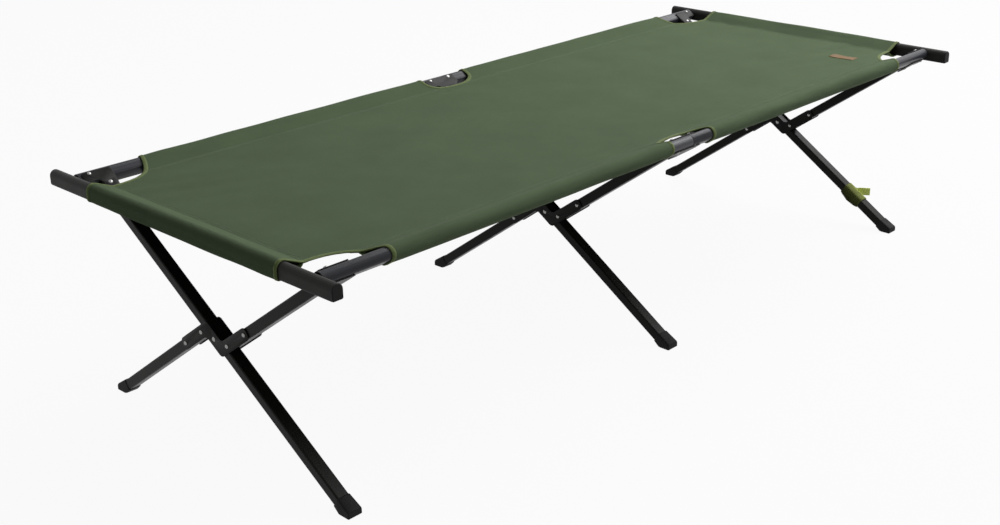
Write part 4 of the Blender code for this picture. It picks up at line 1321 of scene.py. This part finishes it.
class COT_OT_strap(bpy.types.Operator):
    """Makes the webbing strap round the far straight leg."""
    bl_idname = "cot.strap"
    bl_label = "Storage strap"

    def execute(self, context):
        """Winds the webbing round the leg and leaves a short tail."""
        sizes = context.scene.cot_sizes
        vertices, faces, places, length = self.wind(sizes)
        webbing = webbing_material(tuple(context.scene.cot_colours.webbing))
        strap = new_piece("storage_strap_webbing", vertices, faces, webbing, "lime_webbing", places)
        thicken(strap, STRAP_THICKNESS)
        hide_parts("storage_strap")
        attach(strap, "left_frame")
        return {"FINISHED"}

    def wind(self, sizes):
        """The webbing's vertices, faces and flat coordinates, line by line, and its flat length."""
        pivot = Vector((STATIONS["far"], PIVOT.y, PIVOT.z))
        under = LEFT_UP.cross(ALONG)
        lay = frame_at(pivot, ALONG, under)
        half_x, half_y = LEG_DEPTH / 2 + STRAP_GAP, LEG_HEIGHT / 2 + STRAP_GAP
        winding = self.section(half_x, half_y)
        root = len(winding) - 1
        vertices, faces, places = [], [], []
        length, last = 0.0, None
        for index in range(root + TAIL_STEPS + 1):
            past = max(index - root, 0) / TAIL_STEPS
            point = winding[min(index, root)]
            seat = Vector((point.x, point.y, 0))
            slack = STRAP_SLACK * smooth_step(point.y, -half_y * 0.4, half_y) * (1 - past)
            gathered = smooth_step(past, 0.0, TAIL_GATHER)
            turn = smooth_step(past, 0.0, TAIL_TWIST)
            width = sizes.strap_width + (TAIL_WIDTH - sizes.strap_width) * gathered
            across = LEFT_UP.lerp(UP, turn).normalized()
            run = TAIL_LENGTH * past
            place = lay @ seat + LEFT_UP * (STRAP_MIDDLE + TAIL_SHIFT * gathered)
            place += (
                ALONG * run * TAIL_ALONG - ACROSS * run * TAIL_ACROSS * smooth_step(past, 0.0, TAIL_SWING)
                - UP * TAIL_DROP * past
            )
            if last is not None:
                length += (place - last).length
            last = place
            out = (lay.to_3x3() @ seat).normalized()
            for step in range(STRAP_ROWS + 1):
                share = step / STRAP_ROWS - 0.5
                belly = 1 - (2 * share) ** 2
                wave = math.sin(share * CREASE_ACROSS + index * CREASE_ALONG)
                crease = STRAP_CREASE * wave * (1 - turn) * belly
                hang = under * slack * (0.05 + 0.95 * belly)
                lift = out * max(crease, -CREASE_DEPTH)
                vertices.append(place + across * share * width + lift + hang)
                places.append((length, share * width))
        for row in range(root + TAIL_STEPS):
            for step in range(STRAP_ROWS):
                a = row * (STRAP_ROWS + 1) + step
                faces.append((a, a + 1, a + STRAP_ROWS + 2, a + STRAP_ROWS + 1))
        return vertices, faces, places, length

    def section(self, half_x, half_y):
        """The strap's turn round the leg's section, from its tucked end to the root of its tail."""
        line = [(half_x + STRAP_TUCK, -0.001)]
        for quarter, (way_x, way_y) in enumerate(((1, 1), (-1, 1), (-1, -1), (1, -1))):
            centre = (way_x * (half_x - STRAP_CORNER), way_y * (half_y - STRAP_CORNER))
            first = math.pi / 2 * quarter
            line += arc(centre, STRAP_CORNER, first, first + math.pi / 2, 5)
        line.append((half_x + TAIL_ROOT, -half_y * 0.6))
        return resampled([Vector(point) for point in line], STRAP_STEP)


class COT_OT_rounded(bpy.types.Operator):
    """Makes the boots, end caps, rails, brackets and cranked plates with softened edges."""
    bl_idname = "cot.rounded"
    bl_label = "Softened solids"

    def execute(self, context):
        """Copies each solid, bevels its sharp edges and shows the copy in its place."""
        for name, node in frame["nodes"].items():
            for ending, width in SOFT_EDGES.items():
                if name.endswith(ending):
                    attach(self.soften(name, node, width), node["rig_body"])
        return {"FINISHED"}

    def soften(self, name, node, width):
        """One solid's copy with its sharp edges bevelled."""
        shape = bmesh.new()
        shape.from_mesh(node.data)
        bmesh.ops.remove_doubles(shape, verts=shape.verts, dist=WELD_DISTANCE)
        if name.endswith("_boot"):
            self.draw_in(shape, LEFT_UP if "straight" in name else RIGHT_UP)
        if name.endswith(("_boot", "_end_cap")):
            self.fill_out(shape)
        bmesh.ops.dissolve_limit(
            shape, angle_limit=FLAT_ANGLE, verts=shape.verts, edges=shape.edges,
            use_dissolve_boundaries=False,
        )
        for face in shape.faces:
            face.smooth = True
        mesh = bpy.data.meshes.new(f"{name}_softened")
        shape.to_mesh(mesh)
        shape.free()
        mesh.materials.append(node.data.materials[0])
        piece = bpy.data.objects.new(f"{name}_softened", mesh)
        piece.matrix_world = node.matrix_world.copy()
        bpy.context.scene.collection.objects.link(piece)
        bevel = piece.modifiers.new("edges", "BEVEL")
        bevel.width = width
        bevel.segments = 3
        bevel.limit_method = "ANGLE"
        bevel.angle_limit = SHARP_ANGLE
        bevel.harden_normals = True
        bpy.context.view_layer.update()
        apply_modifiers(piece)
        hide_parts(name)
        return piece

    def fill_out(self, shape):
        """Turns a hollow boot or cap into the solid form that shows: its convex hull."""
        places = [vertex.co.copy() for vertex in shape.verts]
        shape.clear()
        hull = bmesh.ops.convex_hull(shape, input=[shape.verts.new(place) for place in places])
        inside = {item for item in hull["geom_interior"] + hull["geom_unused"] if item.is_valid}
        spare = [item for item in inside if isinstance(item, bmesh.types.BMVert)]
        bmesh.ops.delete(shape, geom=spare, context="VERTS")

    def draw_in(self, shape, up):
        """Draws a boot's collar in towards its leg, so that the boot swells from there to its sole."""
        side = ALONG.cross(up)
        top = max(vertex.co.dot(up) for vertex in shape.verts)
        collar = [vertex for vertex in shape.verts if vertex.co.dot(up) > top - COLLAR_DEPTH]
        for axis in (ALONG, side):
            reaches = [vertex.co.dot(axis) for vertex in collar]
            middle, half = (max(reaches) + min(reaches)) / 2, (max(reaches) - min(reaches)) / 2
            for vertex, reach in zip(collar, reaches):
                vertex.co -= axis * (reach - middle) / half * COLLAR_DRAW


OPERATORS = (
    COT_OT_stage, COT_OT_finishes, COT_OT_rounded, COT_OT_canvas, COT_OT_binding, COT_OT_stitching,
    COT_OT_label, COT_OT_rivets, COT_OT_strap,
)


class COT_PT_pieces(bpy.types.Panel):
    """Lists the cot's sizes, colours and pieces."""
    bl_idname = "COT_PT_pieces"
    bl_label = "Camping cot"
    bl_space_type = "VIEW_3D"
    bl_region_type = "UI"
    bl_category = "Cot"

    def draw(self, context):
        """Draws the sizes, the colours and a button for each piece."""
        for group in (context.scene.cot_sizes, context.scene.cot_colours):
            for name in group.bl_rna.properties.keys():
                if name not in ("rna_type", "name"):
                    self.layout.prop(group, name)
        for operator in OPERATORS:
            self.layout.operator(operator.bl_idname)


CLASSES = (CotSizes, CotColours, *OPERATORS, COT_PT_pieces)


def register():
    """Registers the classes and the scene's settings."""
    for item in CLASSES:
        bpy.utils.register_class(item)
    bpy.types.Scene.cot_sizes = PointerProperty(type=CotSizes)
    bpy.types.Scene.cot_colours = PointerProperty(type=CotColours)


def unregister():
    """Removes the scene's settings and the classes."""
    del bpy.types.Scene.cot_colours
    del bpy.types.Scene.cot_sizes
    for item in reversed(CLASSES):
        bpy.utils.unregister_class(item)


def main():
    """Makes every piece in order."""
    register()
    bpy.ops.cot.stage()
    bpy.ops.cot.finishes()
    bpy.ops.cot.rounded()
    bpy.ops.cot.canvas()
    bpy.ops.cot.binding()
    bpy.ops.cot.stitching()
    bpy.ops.cot.label()
    bpy.ops.cot.rivets()
    bpy.ops.cot.strap()


if __name__ == "__main__":
    main()
